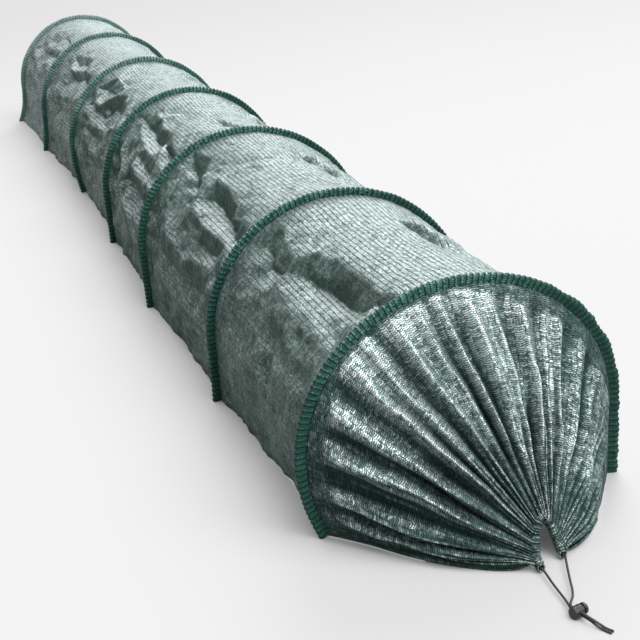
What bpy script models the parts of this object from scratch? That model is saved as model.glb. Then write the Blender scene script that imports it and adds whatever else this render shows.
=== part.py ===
# Row cover tunnel. Wire hoops in sewn sleeves carry a knitted shade cloth in bays,
# and the cloth past each end hoop is gathered into a casing. The near casing's
# drawstring runs through a sprung cord lock that lies in front of it.
#
# The origin is on the ground at the middle of the row. +Y runs along the row from the
# near end to the far end, +X is to the right and +Z is up. Metres, and degrees for angles.

import math

import bmesh
import bpy
import numpy as np
from mathutils import Vector

# Hoops
hoop_count = 7
hoop_spacing = 0.5
hoop_radius = 0.219  # the wire's centre line round the arch
leg_height = 0.113  # straight leg below the arch
wire_diameter = 0.004
wire_sides = 6
leg_steps = 2
arch_steps = 16

# How each hoop stands, near end first
hoop_step_shares = (0.0, -0.058, -0.09, -0.116, -0.128, -0.008, 0.0)  # of the spacing
hoop_spread_shares = (0.045, 0.01, 0.04, -0.022, -0.022, -0.018, -0.01)  # of the radius
hoop_toe_shares = (0.12, 0.0, 0.0, 0.0, 0.055, -0.06, -0.12)  # of the radius, left foot
hoop_lean_deg = (-0.8, -1.6, 4.7, 4.0, 4.9, 0.2, -0.8)
hoop_turn_deg = (-2.0, -3.1, -4.6, 0.2, 0.4, -0.4, -1.0)

# Sleeves: a fin of folded cloth with the wire at its outer edge
fit_gap = 0.0003  # left between pieces that touch
fin_height = 0.0145  # from the cover to the sleeve's outer edge
sleeve_cloth = 0.0009
seam_thickness = 0.0022
sleeve_sides = 7

# Cover bays
cover_cloth = 0.0012
bay_sag = 0.010
bay_sag_foot_share = 0.25  # of the sag, at the ground
dent_depth = 0.016
dent_girth = 0.075
dent_length = 0.085
bay_steps = 7
# Main dents of each bay: place round the girth from the left foot, place along the
# bay from its near hoop, and share of the dent depth
bay_dent_shares = (
    ((0.40, 0.45, 1.0), (0.56, 0.62, 0.7), (0.25, 0.75, 0.4)),
    ((0.33, 0.50, 1.0), (0.60, 0.42, 0.8), (0.45, 0.20, 0.5)),
    ((0.30, 0.35, 0.9), (0.43, 0.75, 0.8), (0.62, 0.50, 0.7)),
    ((0.26, 0.45, 0.9), (0.42, 0.55, 1.0), (0.60, 0.40, 0.7)),
    ((0.36, 0.50, 0.9), (0.55, 0.60, 0.9), (0.24, 0.30, 0.5)),
    ((0.45, 0.40, 0.9), (0.30, 0.60, 0.7), (0.62, 0.55, 0.8)),
)

# Gathered ends, measured from the end hoop's foot line
skirt_cloth = 0.0014
skirt_bulge = 0.008
foot_bulge = 0.014  # more bulge where the cloth lies out on the ground beside the mouth
foot_bulge_girth_share = 0.2  # of the girth, above each foot
foot_bulge_lean_share = 1.8  # over 1 moves that bulge toward the mouth
fold_height = 0.009
fold_height_at_casing = 0.0022
fold_unevenness_share = 0.3
fold_flat_foot_share = 0.05  # of the girth, beside each foot
near_fold_count = 22
far_fold_count = 16
fold_points = 4
tangent_share = 0.25  # of a column's width, to find the casing's direction
near_skirt_steps = 6
far_skirt_steps = 5
casing_radius = 0.0065
casing_ruffle_share = 0.16
casing_lift = 0.0007
casing_lead = 0.004  # straight stretch at each mouth
casing_steps = 24
casing_sides = 7
mouth_reach = 0.176
mouth_depth = 0.024
mouth_rise = 0.048
mouth_half_width = 0.0195
near_mouth_shift = 0.0335  # the near casing lies to the right of the row's middle
far_mouth_shift = 0.006
mouth_skew = 0.0073

# Drawstring
cord_diameter = 0.003
cord_point_spacing_shares = 2.4  # of the cord's diameter
route_steps = 16  # fine steps between two points of a route
left_route = (
    (0.0140, -1.6876, 0.0072),
    (0.0139, -1.6950, 0.0070),
    (0.0130, -1.7050, 0.0064),
    (0.0113, -1.7200, 0.0057),
    (0.0101, -1.7350, 0.0053),
    (0.0088, -1.7500, 0.0052),
    (0.0068, -1.7640, 0.0055),
    (0.0051, -1.7744, 0.00585),
    (0.0076, -1.7836, 0.00585),
    (0.0104, -1.7940, 0.00585),
    (0.0130, -1.8038, 0.00575),
    (0.0160, -1.8120, 0.0036),
    (0.0202, -1.8195, 0.0018),
    (0.0250, -1.8290, 0.0017),
)
right_route = (
    (0.0530, -1.6730, 0.0072),
    (0.0522, -1.6795, 0.0071),
    (0.0480, -1.6890, 0.0069),
    (0.0414, -1.7040, 0.0065),
    (0.0320, -1.7260, 0.0062),
    (0.0252, -1.7420, 0.0067),
    (0.0175, -1.7560, 0.0077),
    (0.0085, -1.7670, 0.0088),
    (0.0051, -1.7744, 0.00915),
    (0.0076, -1.7836, 0.00915),
    (0.0104, -1.7940, 0.00915),
    (0.0130, -1.8038, 0.0090),
    (0.0162, -1.8100, 0.0076),
    (0.0207, -1.8152, 0.0044),
    (0.0247, -1.8202, 0.0020),
    (0.0290, -1.8270, 0.0017),
)

# Cord lock: its own X axis runs from the barrel's closed end to the button's head,
# with zero at the cords' hole
lock_place = (0.0076, -1.7836)
lock_turn_deg = 15.0
lock_barrel_length = 0.014
lock_barrel_radius = 0.0075
lock_barrel_round = 0.003
lock_hole_setback = 0.009  # from the closed end to the middle of the cords' hole
lock_end_wall = 0.0012
lock_lip = 0.0006
lock_stem_radius = 0.0052
lock_stem_end = 0.0018  # solid end of the stem, behind its slot
lock_travel = 0.0026
lock_rest_gap = 0.0002  # left between the head and the barrel when pressed
lock_head_radius = 0.007
lock_head_length = 0.0062
lock_head_round = 0.0024
lock_head_dome = 0.0012
lock_sides = 20
round_steps = 4
slot_round_steps = 5
cutter_overrun = 0.002
same_point = 0.00003  # outline points nearer than this are one
spring_wire = 0.0005
spring_radius = 0.0036
spring_turns = 3.25
spring_turn_points = 10


def clear_scene():
    for item in list(bpy.data.objects):
        bpy.data.objects.remove(item, do_unlink=True)


def finish(name, colour, roughness, metallic):
    material = bpy.data.materials.new(name)
    material.use_nodes = True
    shader = material.node_tree.nodes["Principled BSDF"]
    shader.inputs["Base Color"].default_value = (*colour, 1)
    shader.inputs["Roughness"].default_value = roughness
    shader.inputs["Metallic"].default_value = metallic
    return material


def add_mesh(name, points, faces, material, smooth_deg=50):
    mesh = bpy.data.meshes.new(name)
    mesh.from_pydata([tuple(p) for p in points], [], faces)
    shell = bmesh.new()
    shell.from_mesh(mesh)
    bmesh.ops.recalc_face_normals(shell, faces=shell.faces)
    shell.to_mesh(mesh)
    shell.free()
    mesh.materials.append(material)
    mesh.shade_smooth()
    mesh.set_sharp_from_angle(angle=math.radians(smooth_deg))
    item = bpy.data.objects.new(name, mesh)
    bpy.context.collection.objects.link(item)
    return item


def stance(table, index):
    return table[index % len(table)]


# Hoop lines


def hoop_place(index):
    middle = (hoop_count - 1) / 2
    return (index - middle + stance(hoop_step_shares, index)) * hoop_spacing


def stand(index, x, y, z):
    # A hoop leans and turns about its place on the ground, and its feet stay level.
    lean = math.tan(math.radians(stance(hoop_lean_deg, index)))
    turn = math.tan(math.radians(stance(hoop_turn_deg, index)))
    return np.array([x, hoop_place(index) + y + z * lean + x * turn, z])


def hoop_line(index, inset, legs, arches):
    # Points across and up from the left foot to the right foot, with their outward
    # normals, of the hoop's line moved in by the inset.
    half = hoop_radius * (1 + stance(hoop_spread_shares, index)) - inset
    rise = hoop_radius - inset
    toe = hoop_radius * stance(hoop_toe_shares, index)
    points, normals = [], []
    for step in range(legs):
        below = 1 - step / legs
        slope = 0 if step == 0 else -2 * toe * below / leg_height
        points.append((-half + toe * below**2, leg_height * (1 - below)))
        normals.append((-1, slope))
    for step in range(arches + 1):
        angle = math.pi * (1 - step / arches)
        across, up = math.cos(angle), math.sin(angle)
        points.append((half * across, leg_height + rise * up))
        normals.append((across / half, up / rise))
    for step in range(legs):
        points.append((half, leg_height * (1 - (step + 1) / legs)))
        normals.append((1, 0))
    normals = np.array(normals, float)
    normals /= np.linalg.norm(normals, axis=1)[:, None]
    return np.array(points, float), normals


def girth_line(index, inset, count):
    # The same line with the sleeve's own corners, cut into equal lengths.
    points, normals = hoop_line(index, inset, leg_steps, arch_steps)
    lengths = np.linalg.norm(np.diff(points, axis=0), axis=1)
    along = np.concatenate([[0], np.cumsum(lengths)]) / lengths.sum()
    places = np.linspace(0, 1, count + 1)
    spread = [np.interp(places, along, column) for column in (*points.T, *normals.T)]
    return np.array(spread[:2]).T, np.array(spread[2:]).T


# Swept and lofted solids


def ring_faces(rings, sides, first):
    faces = []
    for ring in range(rings - 1):
        for side in range(sides):
            a = first + ring * sides + side
            b = first + ring * sides + (side + 1) % sides
            faces.append((a, b, b + sides, a + sides))
    return faces


def add_tube(name, outer, inner, material):
    # Rings of equal counts. With inner rings the tube is bored from end to end.
    rings, sides = len(outer), len(outer[0])
    points = [p for ring in outer for p in ring]
    faces = ring_faces(rings, sides, 0)
    last = (rings - 1) * sides
    if inner is None:
        faces += [tuple(range(sides)), tuple(range(last, last + sides))]
        return add_mesh(name, points, faces, material)
    bore = len(points)
    points += [p for ring in inner for p in ring]
    faces += ring_faces(rings, sides, bore)
    for start in (0, last):
        for side in range(sides):
            after = (side + 1) % sides
            faces.append((start + side, start + after, bore + start + after, bore + start + side))
    return add_mesh(name, points, faces, material)


def add_shell(name, outer, inner, material):
    # Two grids of points, one cloth thickness apart, closed round the rim. Both
    # grids are split into triangles the same way, so that they never cross.
    rows, columns = outer.shape[:2]
    points = [*outer.reshape(-1, 3), *inner.reshape(-1, 3)]
    under = rows * columns
    faces = []
    for row in range(rows - 1):
        for column in range(columns - 1):
            a = row * columns + column
            b, c, d = a + 1, a + columns, a + columns + 1
            for side in (0, under):
                faces.append((side + a, side + b, side + d))
                faces.append((side + a, side + d, side + c))
    rim = [(row, 0) for row in range(rows)]
    rim += [(rows - 1, column) for column in range(1, columns)]
    rim += [(row, columns - 1) for row in range(rows - 2, -1, -1)]
    rim += [(0, column) for column in range(columns - 2, 0, -1)]
    places = [row * columns + column for row, column in rim]
    for a, b in zip(places, places[1:] + places[:1]):
        faces.append((a, b, under + b))
        faces.append((a, under + b, under + a))
    return add_mesh(name, points, faces, material, smooth_deg=75)


def circle(radius, sides):
    angles = [2 * math.pi * side / sides for side in range(sides)]
    return [(radius * math.cos(a), radius * math.sin(a)) for a in angles]


def sweep_hoop(index, profile):
    # The profile's first axis points out of the arch and its second along the row.
    points, normals = hoop_line(index, 0, leg_steps, arch_steps)
    rings = []
    for (x, z), (out_x, out_z) in zip(points, normals):
        rings.append([stand(index, x + u * out_x, v, z + u * out_z) for u, v in profile])
    return rings


def add_hoop(index, material):
    profile = circle(wire_diameter / 2, wire_sides)
    return add_tube(f"hoop_{index + 1}", sweep_hoop(index, profile), None, material)


bore_radius = (wire_diameter / 2 + fit_gap) / math.cos(math.pi / sleeve_sides)
sleeve_radius = bore_radius + sleeve_cloth / math.cos(math.pi / sleeve_sides)
cover_inset = fin_height - sleeve_radius  # the cover's outside, in from the wire


def sleeve_outline():
    # A teardrop: round over the wire, and drawn in to the flat seam at the cover.
    outline = circle(sleeve_radius, sleeve_sides)
    seam_side = sleeve_sides // 2
    seam_edge = -(cover_inset + cover_cloth)
    outline[seam_side] = (seam_edge, seam_thickness / 2)
    outline[seam_side + 1] = (seam_edge, -seam_thickness / 2)
    return outline


def cover_edge():
    # How far from a hoop's plane the cover's edge lies: against the sleeve's side.
    (high, half_high), (low, half_low) = sleeve_outline()[sleeve_sides // 2 - 1 : sleeve_sides // 2 + 1]
    share = (-cover_inset - low) / (high - low)
    return half_low + (half_high - half_low) * share + fit_gap


def add_sleeve(index, material):
    outer = sleeve_outline()
    inner = circle(bore_radius, sleeve_sides)
    rings = sweep_hoop(index, outer), sweep_hoop(index, inner)
    return add_tube(f"sleeve_{index + 1}", *rings, material)


# Cover bays


def bay_drop(bay, girth_place, length_place, girth):
    # How far the cloth hangs in from the straight line between its two hoops.
    crown = math.sin(math.pi * girth_place)
    weight = bay_sag_foot_share + (1 - bay_sag_foot_share) * crown
    drop = bay_sag * math.sin(math.pi * length_place) * weight
    for around, along, share in stance(bay_dent_shares, bay):
        off_girth = (girth_place - around) * girth / dent_girth
        off_length = (length_place - along) * hoop_spacing / dent_length
        fade = math.sin(math.pi * length_place) * crown
        drop += dent_depth * share * fade * math.exp(-(off_girth**2) - off_length**2)
    return drop


def add_bay(bay, material):
    edge = cover_edge()
    near, near_out = hoop_line(bay, cover_inset, leg_steps, arch_steps)
    far, far_out = hoop_line(bay + 1, cover_inset, leg_steps, arch_steps)
    girth_steps = len(near) - 1
    girth = 2 * leg_height + math.pi * (hoop_radius - cover_inset)
    outer = np.zeros((girth_steps + 1, bay_steps + 1, 3))
    inner = outer.copy()
    for i in range(girth_steps + 1):
        start = stand(bay, near[i][0], edge, near[i][1])
        end = stand(bay + 1, far[i][0], -edge, far[i][1])
        for j in range(bay_steps + 1):
            place = j / bay_steps
            out = near_out[i] * (1 - place) + far_out[i] * place
            out = np.array([out[0], 0, out[1]])
            drop = bay_drop(bay, i / girth_steps, place, girth)
            outer[i, j] = start * (1 - place) + end * place - out * drop
            inner[i, j] = outer[i, j] - out * cover_cloth
    return add_shell(f"cover_bay_{bay + 1}", outer, inner, material)


# Gathered ends


def end_point(side, shift, x, y, z):
    # From an end's own frame, whose hoop stands at y = 0 with the row behind it. The
    # far end (side 1) is the near end (side -1) turned half round.
    hoop = hoop_place(0 if side < 0 else hoop_count - 1)
    return np.array([-side * (x + shift), hoop - side * y, z])


def casing_point(side, shift, place):
    angle = math.pi * place
    x = -mouth_half_width * math.cos(angle)
    y = -mouth_reach + mouth_depth * math.sin(angle) - mouth_skew * math.cos(angle)
    z = casing_radius + casing_lift + mouth_rise * math.sin(angle) ** 2
    return end_point(side, shift, x, y, z)


def casing_line(side, shift):
    # The small arch that the casing is drawn into, with a straight lead at each mouth.
    places = np.linspace(0, 1, casing_steps + 1)
    line = [casing_point(side, shift, place) for place in places]
    lead = np.array([0, side * casing_lead, 0])
    return np.array([line[0] + lead, *line, line[-1] + lead])


def tangents(line):
    steps = np.diff(line, axis=0)
    steps /= np.linalg.norm(steps, axis=1)[:, None]
    middle = steps[:-1] + steps[1:]
    ways = np.array([steps[0], *middle, steps[-1]])
    return ways / np.linalg.norm(ways, axis=1)[:, None]


def sweep_line(line, radii, sides):
    ways = tangents(line)
    rings = []
    across = np.cross(ways[0], (0, 0, 1))
    for point, way, radius in zip(line, ways, radii):
        across = across - way * across.dot(way)
        across /= np.linalg.norm(across)
        up = np.cross(across, way)
        rings.append([point + u * across + v * up for u, v in circle(radius, sides)])
    return rings


def add_casing(name, side, shift, material):
    line = casing_line(side, shift)
    ruffles = [1 - casing_ruffle_share * (step % 2) for step in range(len(line))]
    outer = sweep_line(line, [casing_radius * ruffle for ruffle in ruffles], casing_sides)
    bore = (cord_diameter / 2 + fit_gap) / math.cos(math.pi / casing_sides)
    inner = sweep_line(line, [bore] * len(line), casing_sides)
    return add_tube(name, outer, inner, material)


def skirt_base(side, shift, columns, rows):
    # Straight threads from the end hoop's seam to the casing, bulged a little.
    edge = cover_edge()
    hoop = 0 if side < 0 else hoop_count - 1
    ring, _ = girth_line(hoop, cover_inset, columns - 1)
    if side > 0:
        ring = ring[::-1]
    places = np.linspace(0, 1, columns)
    small = tangent_share / columns
    base = np.zeros((columns, rows, 3))
    for i, place in enumerate(places):
        start = stand(hoop, ring[i][0], side * edge, ring[i][1])
        centre = casing_point(side, shift, place)
        way = casing_point(side, shift, place + small) - casing_point(side, shift, place - small)
        way /= np.linalg.norm(way)
        toward = start - centre
        toward -= way * toward.dot(way)
        toward /= np.linalg.norm(toward)
        end = centre + toward * (casing_radius + fit_gap)
        for j in range(rows):
            length_place = j / (rows - 1)
            base[i, j] = start * (1 - length_place) + end * length_place
    return base


def grid_normals(grid):
    around = np.gradient(grid, axis=0)
    along = np.gradient(grid, axis=1)
    out = np.cross(along, around)
    out /= np.linalg.norm(out, axis=2)[..., None]
    middle = out[len(out) // 2, 0]
    return out if middle[2] > 0 else -out


def height_over_foot(column, columns):
    return min(column, columns - 1 - column) / (columns - 1)


def fold_wave(column, columns):
    fold, point = divmod(column, fold_points)
    height = math.sin(2 * math.pi * point / fold_points)
    uneven = 1 - fold_unevenness_share * (1 + math.sin(fold**2)) / 2
    return height * uneven * min(1, height_over_foot(column, columns) / fold_flat_foot_share)


def bulge(column, columns, place):
    low = max(0, 1 - height_over_foot(column, columns) / foot_bulge_girth_share)
    near_mouth = math.sin(math.pi * place**foot_bulge_lean_share)
    return skirt_bulge * math.sin(math.pi * place) + foot_bulge * low * near_mouth


def add_skirt(name, side, shift, fold_count, steps, material):
    columns, rows = fold_count * fold_points + 1, steps + 1
    base = skirt_base(side, shift, columns, rows)
    out = grid_normals(base)
    outer, inner = base.copy(), base.copy()
    for i in range(columns):
        wave = fold_wave(i, columns)
        for j in range(rows):
            place = j / steps
            full = math.sin(math.pi * place)
            height = bulge(i, columns, place) + (fold_height_at_casing * place + fold_height * full) * wave
            inner[i, j] += out[i, j] * height
            outer[i, j] = inner[i, j] + out[i, j] * skirt_cloth
    for grid in (inner, outer):
        grid[..., 2] = np.maximum(grid[..., 2], 0)
    return add_shell(name, outer, inner, material)


# Drawstring


def smooth_route(route, spacing):
    # A Catmull-Rom curve through the route's points, cut into equal lengths.
    nodes = [Vector(p) for p in route]
    nodes = [2 * nodes[0] - nodes[1], *nodes, 2 * nodes[-1] - nodes[-2]]
    fine = []
    for a, b, c, d in zip(nodes, nodes[1:], nodes[2:], nodes[3:]):
        for step in range(route_steps):
            t = step / route_steps
            fine.append(
                (2 * b + (c - a) * t + (2 * a - 5 * b + 4 * c - d) * t**2 + (3 * b - a - 3 * c + d) * t**3) / 2
            )
    fine = np.array([*fine, nodes[-2]])
    lengths = np.linalg.norm(np.diff(fine, axis=0), axis=1)
    along = np.concatenate([[0], np.cumsum(lengths)])
    count = max(2, round(along[-1] / spacing))
    places = np.linspace(0, along[-1], count + 1)
    return np.array([np.interp(places, along, column) for column in fine.T]).T


def add_cord(name, line, diameter, sides_level, material):
    curve = bpy.data.curves.new(name, "CURVE")
    curve.dimensions = "3D"
    curve.bevel_depth = diameter / 2
    curve.bevel_resolution = sides_level
    curve.use_fill_caps = True
    spline = curve.splines.new("POLY")
    spline.points.add(len(line) - 1)
    for point, place in zip(spline.points, line):
        point.co = (*place, 1)
    curve.materials.append(material)
    item = bpy.data.objects.new(name, curve)
    bpy.context.collection.objects.link(item)
    return item


# Cord lock


def add_turned(name, profile, parent, material):
    # A profile of places along the axis and radii, turned about the X axis. Its two
    # ends lie on the axis.
    points = [(profile[0][0], 0, 0)]
    for x, radius in profile[1:-1]:
        points += [(x, u, v) for u, v in circle(radius, lock_sides)]
    points.append((profile[-1][0], 0, 0))
    rings = len(profile) - 2
    faces = ring_faces(rings, lock_sides, 1)
    last = 1 + (rings - 1) * lock_sides
    for side in range(lock_sides):
        after = (side + 1) % lock_sides
        faces.append((0, 1 + after, 1 + side))
        faces.append((len(points) - 1, last + side, last + after))
    item = add_mesh(name, points, faces, material, smooth_deg=40)
    item.parent = parent
    return item


def rounded(centre_x, centre_radius, size, start_deg, end_deg):
    points = []
    for step in range(round_steps + 1):
        angle = math.radians(start_deg + (end_deg - start_deg) * step / round_steps)
        points.append((centre_x + size * math.cos(angle), centre_radius + size * math.sin(angle)))
    return points


def cut_slot(item, parent, start, end, height, reach):
    # A slot across the axis, round above and below, from start to end along the axis.
    middle, half = (start + end) / 2, (end - start) / 2
    round_size = min(slot_width / 2, half)
    outline = []
    corners = ((1, 1), (-1, 1), (-1, -1), (1, -1))
    for quarter, (way_x, way_z) in enumerate(corners):
        centre_x = middle + way_x * (half - round_size)
        centre_z = way_z * (height / 2 - round_size)
        for step in range(slot_round_steps + 1):
            angle = math.pi / 2 * (quarter + step / slot_round_steps)
            outline.append((centre_x + round_size * math.cos(angle), centre_z + round_size * math.sin(angle)))
    tidy = [p for p, q in zip(outline, outline[1:] + outline[:1]) if math.dist(p, q) > same_point]
    rings = [[(x, y, z) for x, z in tidy] for y in (-reach, reach)]
    cutter = add_tube(item.name + "_slot", rings, None, item.data.materials[0])
    cutter.parent = parent
    cutter.hide_render = True
    cutter.display_type = "WIRE"
    cut = item.modifiers.new("slot", "BOOLEAN")
    cut.operation = "DIFFERENCE"
    cut.solver = "EXACT"
    cut.object = cutter


slot_width = cord_diameter + 2 * fit_gap
slot_height = 2 * cord_diameter + 3 * fit_gap
barrel_start = -lock_hole_setback
barrel_end = barrel_start + lock_barrel_length
stem_start = -slot_width / 2 - lock_stem_end
head_start = barrel_end + lock_travel + lock_rest_gap


def add_barrel(parent, material):
    bore = lock_stem_radius + fit_gap
    profile = [(barrel_start, 0)]
    corner = lock_barrel_radius - lock_barrel_round
    profile += rounded(barrel_start + lock_barrel_round, corner, lock_barrel_round, 180, 90)
    profile += [
        (barrel_end - lock_lip, lock_barrel_radius),
        (barrel_end, lock_barrel_radius - lock_lip),
        (barrel_end, bore),
        (barrel_start + lock_end_wall, bore),
        (barrel_start + lock_end_wall, 0),
    ]
    barrel = add_turned("lock_barrel", profile, parent, material)
    reach = lock_barrel_radius + cutter_overrun
    cut_slot(barrel, parent, -slot_width / 2, slot_width / 2, slot_height, reach)


def add_button(parent, material):
    profile = [(stem_start, 0), (stem_start, lock_stem_radius), (head_start, lock_stem_radius)]
    edge = lock_head_radius - lock_head_round
    profile.append((head_start, lock_head_radius - lock_lip))
    profile.append((head_start + lock_lip, lock_head_radius))
    end = head_start + lock_head_length
    profile += rounded(end - lock_head_dome - lock_head_round, edge, lock_head_round, 90, 20)
    profile.append((end, 0))
    button = add_turned("lock_button", profile, parent, material)
    reach = lock_stem_radius + cutter_overrun
    slot_end = slot_width / 2 + lock_travel
    cut_slot(button, parent, -slot_width / 2, slot_end, slot_height, reach)


def add_spring(parent, material):
    # A short coil between the barrel's closed end and the stem.
    seat = fit_gap + spring_wire / 2
    start = barrel_start + lock_end_wall + seat
    length = stem_start - seat - start
    count = round(spring_turns * spring_turn_points)
    line = []
    for step in range(count + 1):
        angle = 2 * math.pi * step / spring_turn_points
        line.append(
            (start + length * step / count, spring_radius * math.cos(angle), spring_radius * math.sin(angle))
        )
    line = np.array(line)
    spring = add_cord("lock_spring", line, spring_wire, 1, material)
    spring.parent = parent
    apart = [
        np.linalg.norm(line[i] - line[j]) - spring_wire
        for i in range(len(line))
        for j in range(i + spring_turn_points // 2, len(line))
    ]
    print("spring's least gap to itself, mm:", round(1000 * min(apart), 3))


def add_lock(plastic, steel):
    pivot = bpy.data.objects.new("lock_pivot", None)
    pivot.location = (*lock_place, lock_barrel_radius)
    pivot.rotation_euler = (0, 0, math.radians(lock_turn_deg))
    bpy.context.collection.objects.link(pivot)
    add_barrel(pivot, plastic)
    add_button(pivot, plastic)
    add_spring(pivot, steel)


# The whole row


def build():
    clear_scene()
    wire = finish("galvanised wire", (0.45, 0.46, 0.47), 0.4, 0.9)
    sleeve_green = finish("sleeve cloth", (0.02, 0.14, 0.09), 0.6, 0)
    shade_cloth = finish("shade cloth", (0.12, 0.24, 0.2), 0.45, 0)
    cord_cloth = finish("drawstring", (0.05, 0.042, 0.04), 0.7, 0)
    lock_plastic = finish("lock plastic", (0.045, 0.038, 0.036), 0.45, 0)
    spring_steel = finish("spring steel", (0.55, 0.55, 0.56), 0.3, 1)
    for index in range(hoop_count):
        add_hoop(index, wire)
        add_sleeve(index, sleeve_green)
    for bay in range(hoop_count - 1):
        add_bay(bay, shade_cloth)
    add_skirt("near_end_skirt", -1, near_mouth_shift, near_fold_count, near_skirt_steps, shade_cloth)
    add_skirt("far_end_skirt", 1, far_mouth_shift, far_fold_count, far_skirt_steps, shade_cloth)
    add_casing("near_casing", -1, near_mouth_shift, shade_cloth)
    add_casing("far_casing", 1, far_mouth_shift, shade_cloth)
    hidden = casing_line(-1, near_mouth_shift)
    add_cord("drawstring_in_casing", hidden, cord_diameter, 1, cord_cloth)
    spacing = cord_point_spacing_shares * cord_diameter
    add_cord("drawstring_left", smooth_route(left_route, spacing), cord_diameter, 2, cord_cloth)
    add_cord("drawstring_right", smooth_route(right_route, spacing), cord_diameter, 2, cord_cloth)
    add_lock(lock_plastic, spring_steel)


build()
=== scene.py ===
# Row cover tunnel, dressed: knitted shade cloth over seven sleeved hoops, both ends
# gathered into casings, and the near end's drawstring with its cord lock.
# Metres, +Z up, +Y from the near end to the far end.

import math

import bmesh
import bpy
import numpy as np
from mathutils import Matrix, Vector
from mathutils.geometry import delaunay_2d_cdt


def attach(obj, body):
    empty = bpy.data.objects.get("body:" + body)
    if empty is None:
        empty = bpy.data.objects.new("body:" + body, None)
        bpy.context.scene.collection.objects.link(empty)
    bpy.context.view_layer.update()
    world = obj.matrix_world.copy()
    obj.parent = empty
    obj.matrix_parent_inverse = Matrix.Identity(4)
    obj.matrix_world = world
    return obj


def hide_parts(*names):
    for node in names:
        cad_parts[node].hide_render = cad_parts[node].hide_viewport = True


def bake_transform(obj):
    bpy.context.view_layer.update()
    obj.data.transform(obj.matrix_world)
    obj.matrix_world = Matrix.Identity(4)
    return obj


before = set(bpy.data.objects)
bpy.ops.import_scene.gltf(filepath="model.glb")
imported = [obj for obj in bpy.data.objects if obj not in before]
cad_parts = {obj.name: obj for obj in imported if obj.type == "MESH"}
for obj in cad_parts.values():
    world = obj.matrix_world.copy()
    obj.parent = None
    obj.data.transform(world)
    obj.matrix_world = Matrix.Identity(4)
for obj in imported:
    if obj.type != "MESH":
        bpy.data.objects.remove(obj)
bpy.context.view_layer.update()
print("frame loaded:", len(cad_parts), "nodes")


# Camera, at the photograph's viewing angle

cameraView = {
    "place": (-0.6196, -2.8298, 0.8667),
    "turn": 0.314997,  # clockwise from +Y, radians
    "down": 0.379127,
    "roll": -0.0738869,
    "lens": 69.15,
    "sensor": 36.0,
    "clip": (0.05, 100.0),
}


def heading(turn, rise):
    level = math.cos(rise)
    return Vector((math.sin(turn) * level, math.cos(turn) * level, math.sin(rise)))


def addCamera(view):
    turn, roll = view["turn"], view["roll"]
    ahead = heading(turn, -view["down"])
    right = Vector((math.cos(turn), -math.sin(turn), 0))
    up = right.cross(ahead)
    tiltedRight = right * math.cos(roll) + up * math.sin(roll)
    tiltedUp = up * math.cos(roll) - right * math.sin(roll)
    data = bpy.data.cameras.new("photoView")
    data.lens = view["lens"]
    data.sensor_width = view["sensor"]
    data.clip_start, data.clip_end = view["clip"]
    camera = bpy.data.objects.new("photoView", data)
    axes = Matrix((tiltedRight, tiltedUp, -ahead)).transposed().to_4x4()
    camera.matrix_world = Matrix.Translation(view["place"]) @ axes
    bpy.context.scene.collection.objects.link(camera)
    bpy.context.scene.camera = camera


addCamera(cameraView)


# Shader nodes

# A socket that takes part in Python sums
class Value:
    def __init__(self, socket):
        self.socket = socket

    def math(self, operation, other=None, flip=False):
        tree = self.socket.id_data
        node = tree.nodes.new("ShaderNodeMath")
        node.operation = operation
        pair = (other, self) if flip else (self, other)
        for place, item in zip(node.inputs, pair):
            if isinstance(item, Value):
                tree.links.new(item.socket, place)
            elif item is not None:
                place.default_value = item
        return Value(node.outputs[0])

    def zigzag(self):
        # 1 at whole numbers and 0 halfway between them
        return (self.math("FRACT") - 0.5).math("ABSOLUTE") * 2

    def within(self, share):
        # Lifted to run from 1 - share to 1
        return 1 - share + self * share


def sumBy(operation, flip=False):
    return lambda value, other: value.math(operation, other, flip)


Value.__add__ = Value.__radd__ = sumBy("ADD")
Value.__sub__, Value.__rsub__ = sumBy("SUBTRACT"), sumBy("SUBTRACT", flip=True)
Value.__mul__ = Value.__rmul__ = sumBy("MULTIPLY")
Value.__truediv__ = sumBy("DIVIDE")


# A material and the one way in which its nodes are added
class Finish:
    def __init__(self, name):
        self.material = bpy.data.materials.new(name)
        self.material.use_nodes = True
        self.tree = self.material.node_tree
        self.shader = self.tree.nodes["Principled BSDF"]

    def plug(self, node, inputs):
        for key, item in inputs.items():
            place = node.inputs[key]
            if isinstance(item, Value):
                self.tree.links.new(item.socket, place)
            else:
                place.default_value = (*item, 1) if place.type == "RGBA" else item

    def add(self, kind, inputs=None, outlet=0, **settings):
        node = self.tree.nodes.new("ShaderNode" + kind)
        for key, item in settings.items():
            setattr(node, key, item)
        self.plug(node, inputs or {})
        return Value(node.outputs[outlet])

    def split(self, vector):
        outlets = self.add("SeparateXYZ", {0: vector}).socket.node.outputs
        return [Value(outlet) for outlet in outlets]

    def onCloth(self):
        # Places on the flat cloth, or round a cord and along it
        return self.split(self.add("UVMap", uv_map="cloth"))[:2]

    def place(self):
        return self.add("TexCoord", outlet=3)

    def mix(self, factor, first, second):
        return self.add("Mix", {0: factor, 6: first, 7: second}, 2, data_type="RGBA")

    def step(self, value, low, high, bottom=0.0, top=1.0):
        inputs = {0: value, 1: low, 2: high, 3: bottom, 4: top}
        return self.add("MapRange", inputs, interpolation_type="SMOOTHSTEP")

    def noise(self, where, scale, detail=2.0, roughness=0.5):
        inputs = {"Vector": where, "Scale": scale, "Detail": detail, "Roughness": roughness}
        return self.add("TexNoise", inputs, noise_dimensions="3D")

    def spots(self, where, scale, detail, roughness, low, high):
        return self.step(self.noise(where, scale, detail, roughness), low, high)

    def bump(self, height, strength, depth):
        return self.add("Bump", {"Strength": strength, "Distance": depth, "Height": height})

    def dress(self, **inputs):
        self.plug(self.shader, {key.replace("_", " "): item for key, item in inputs.items()})


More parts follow.
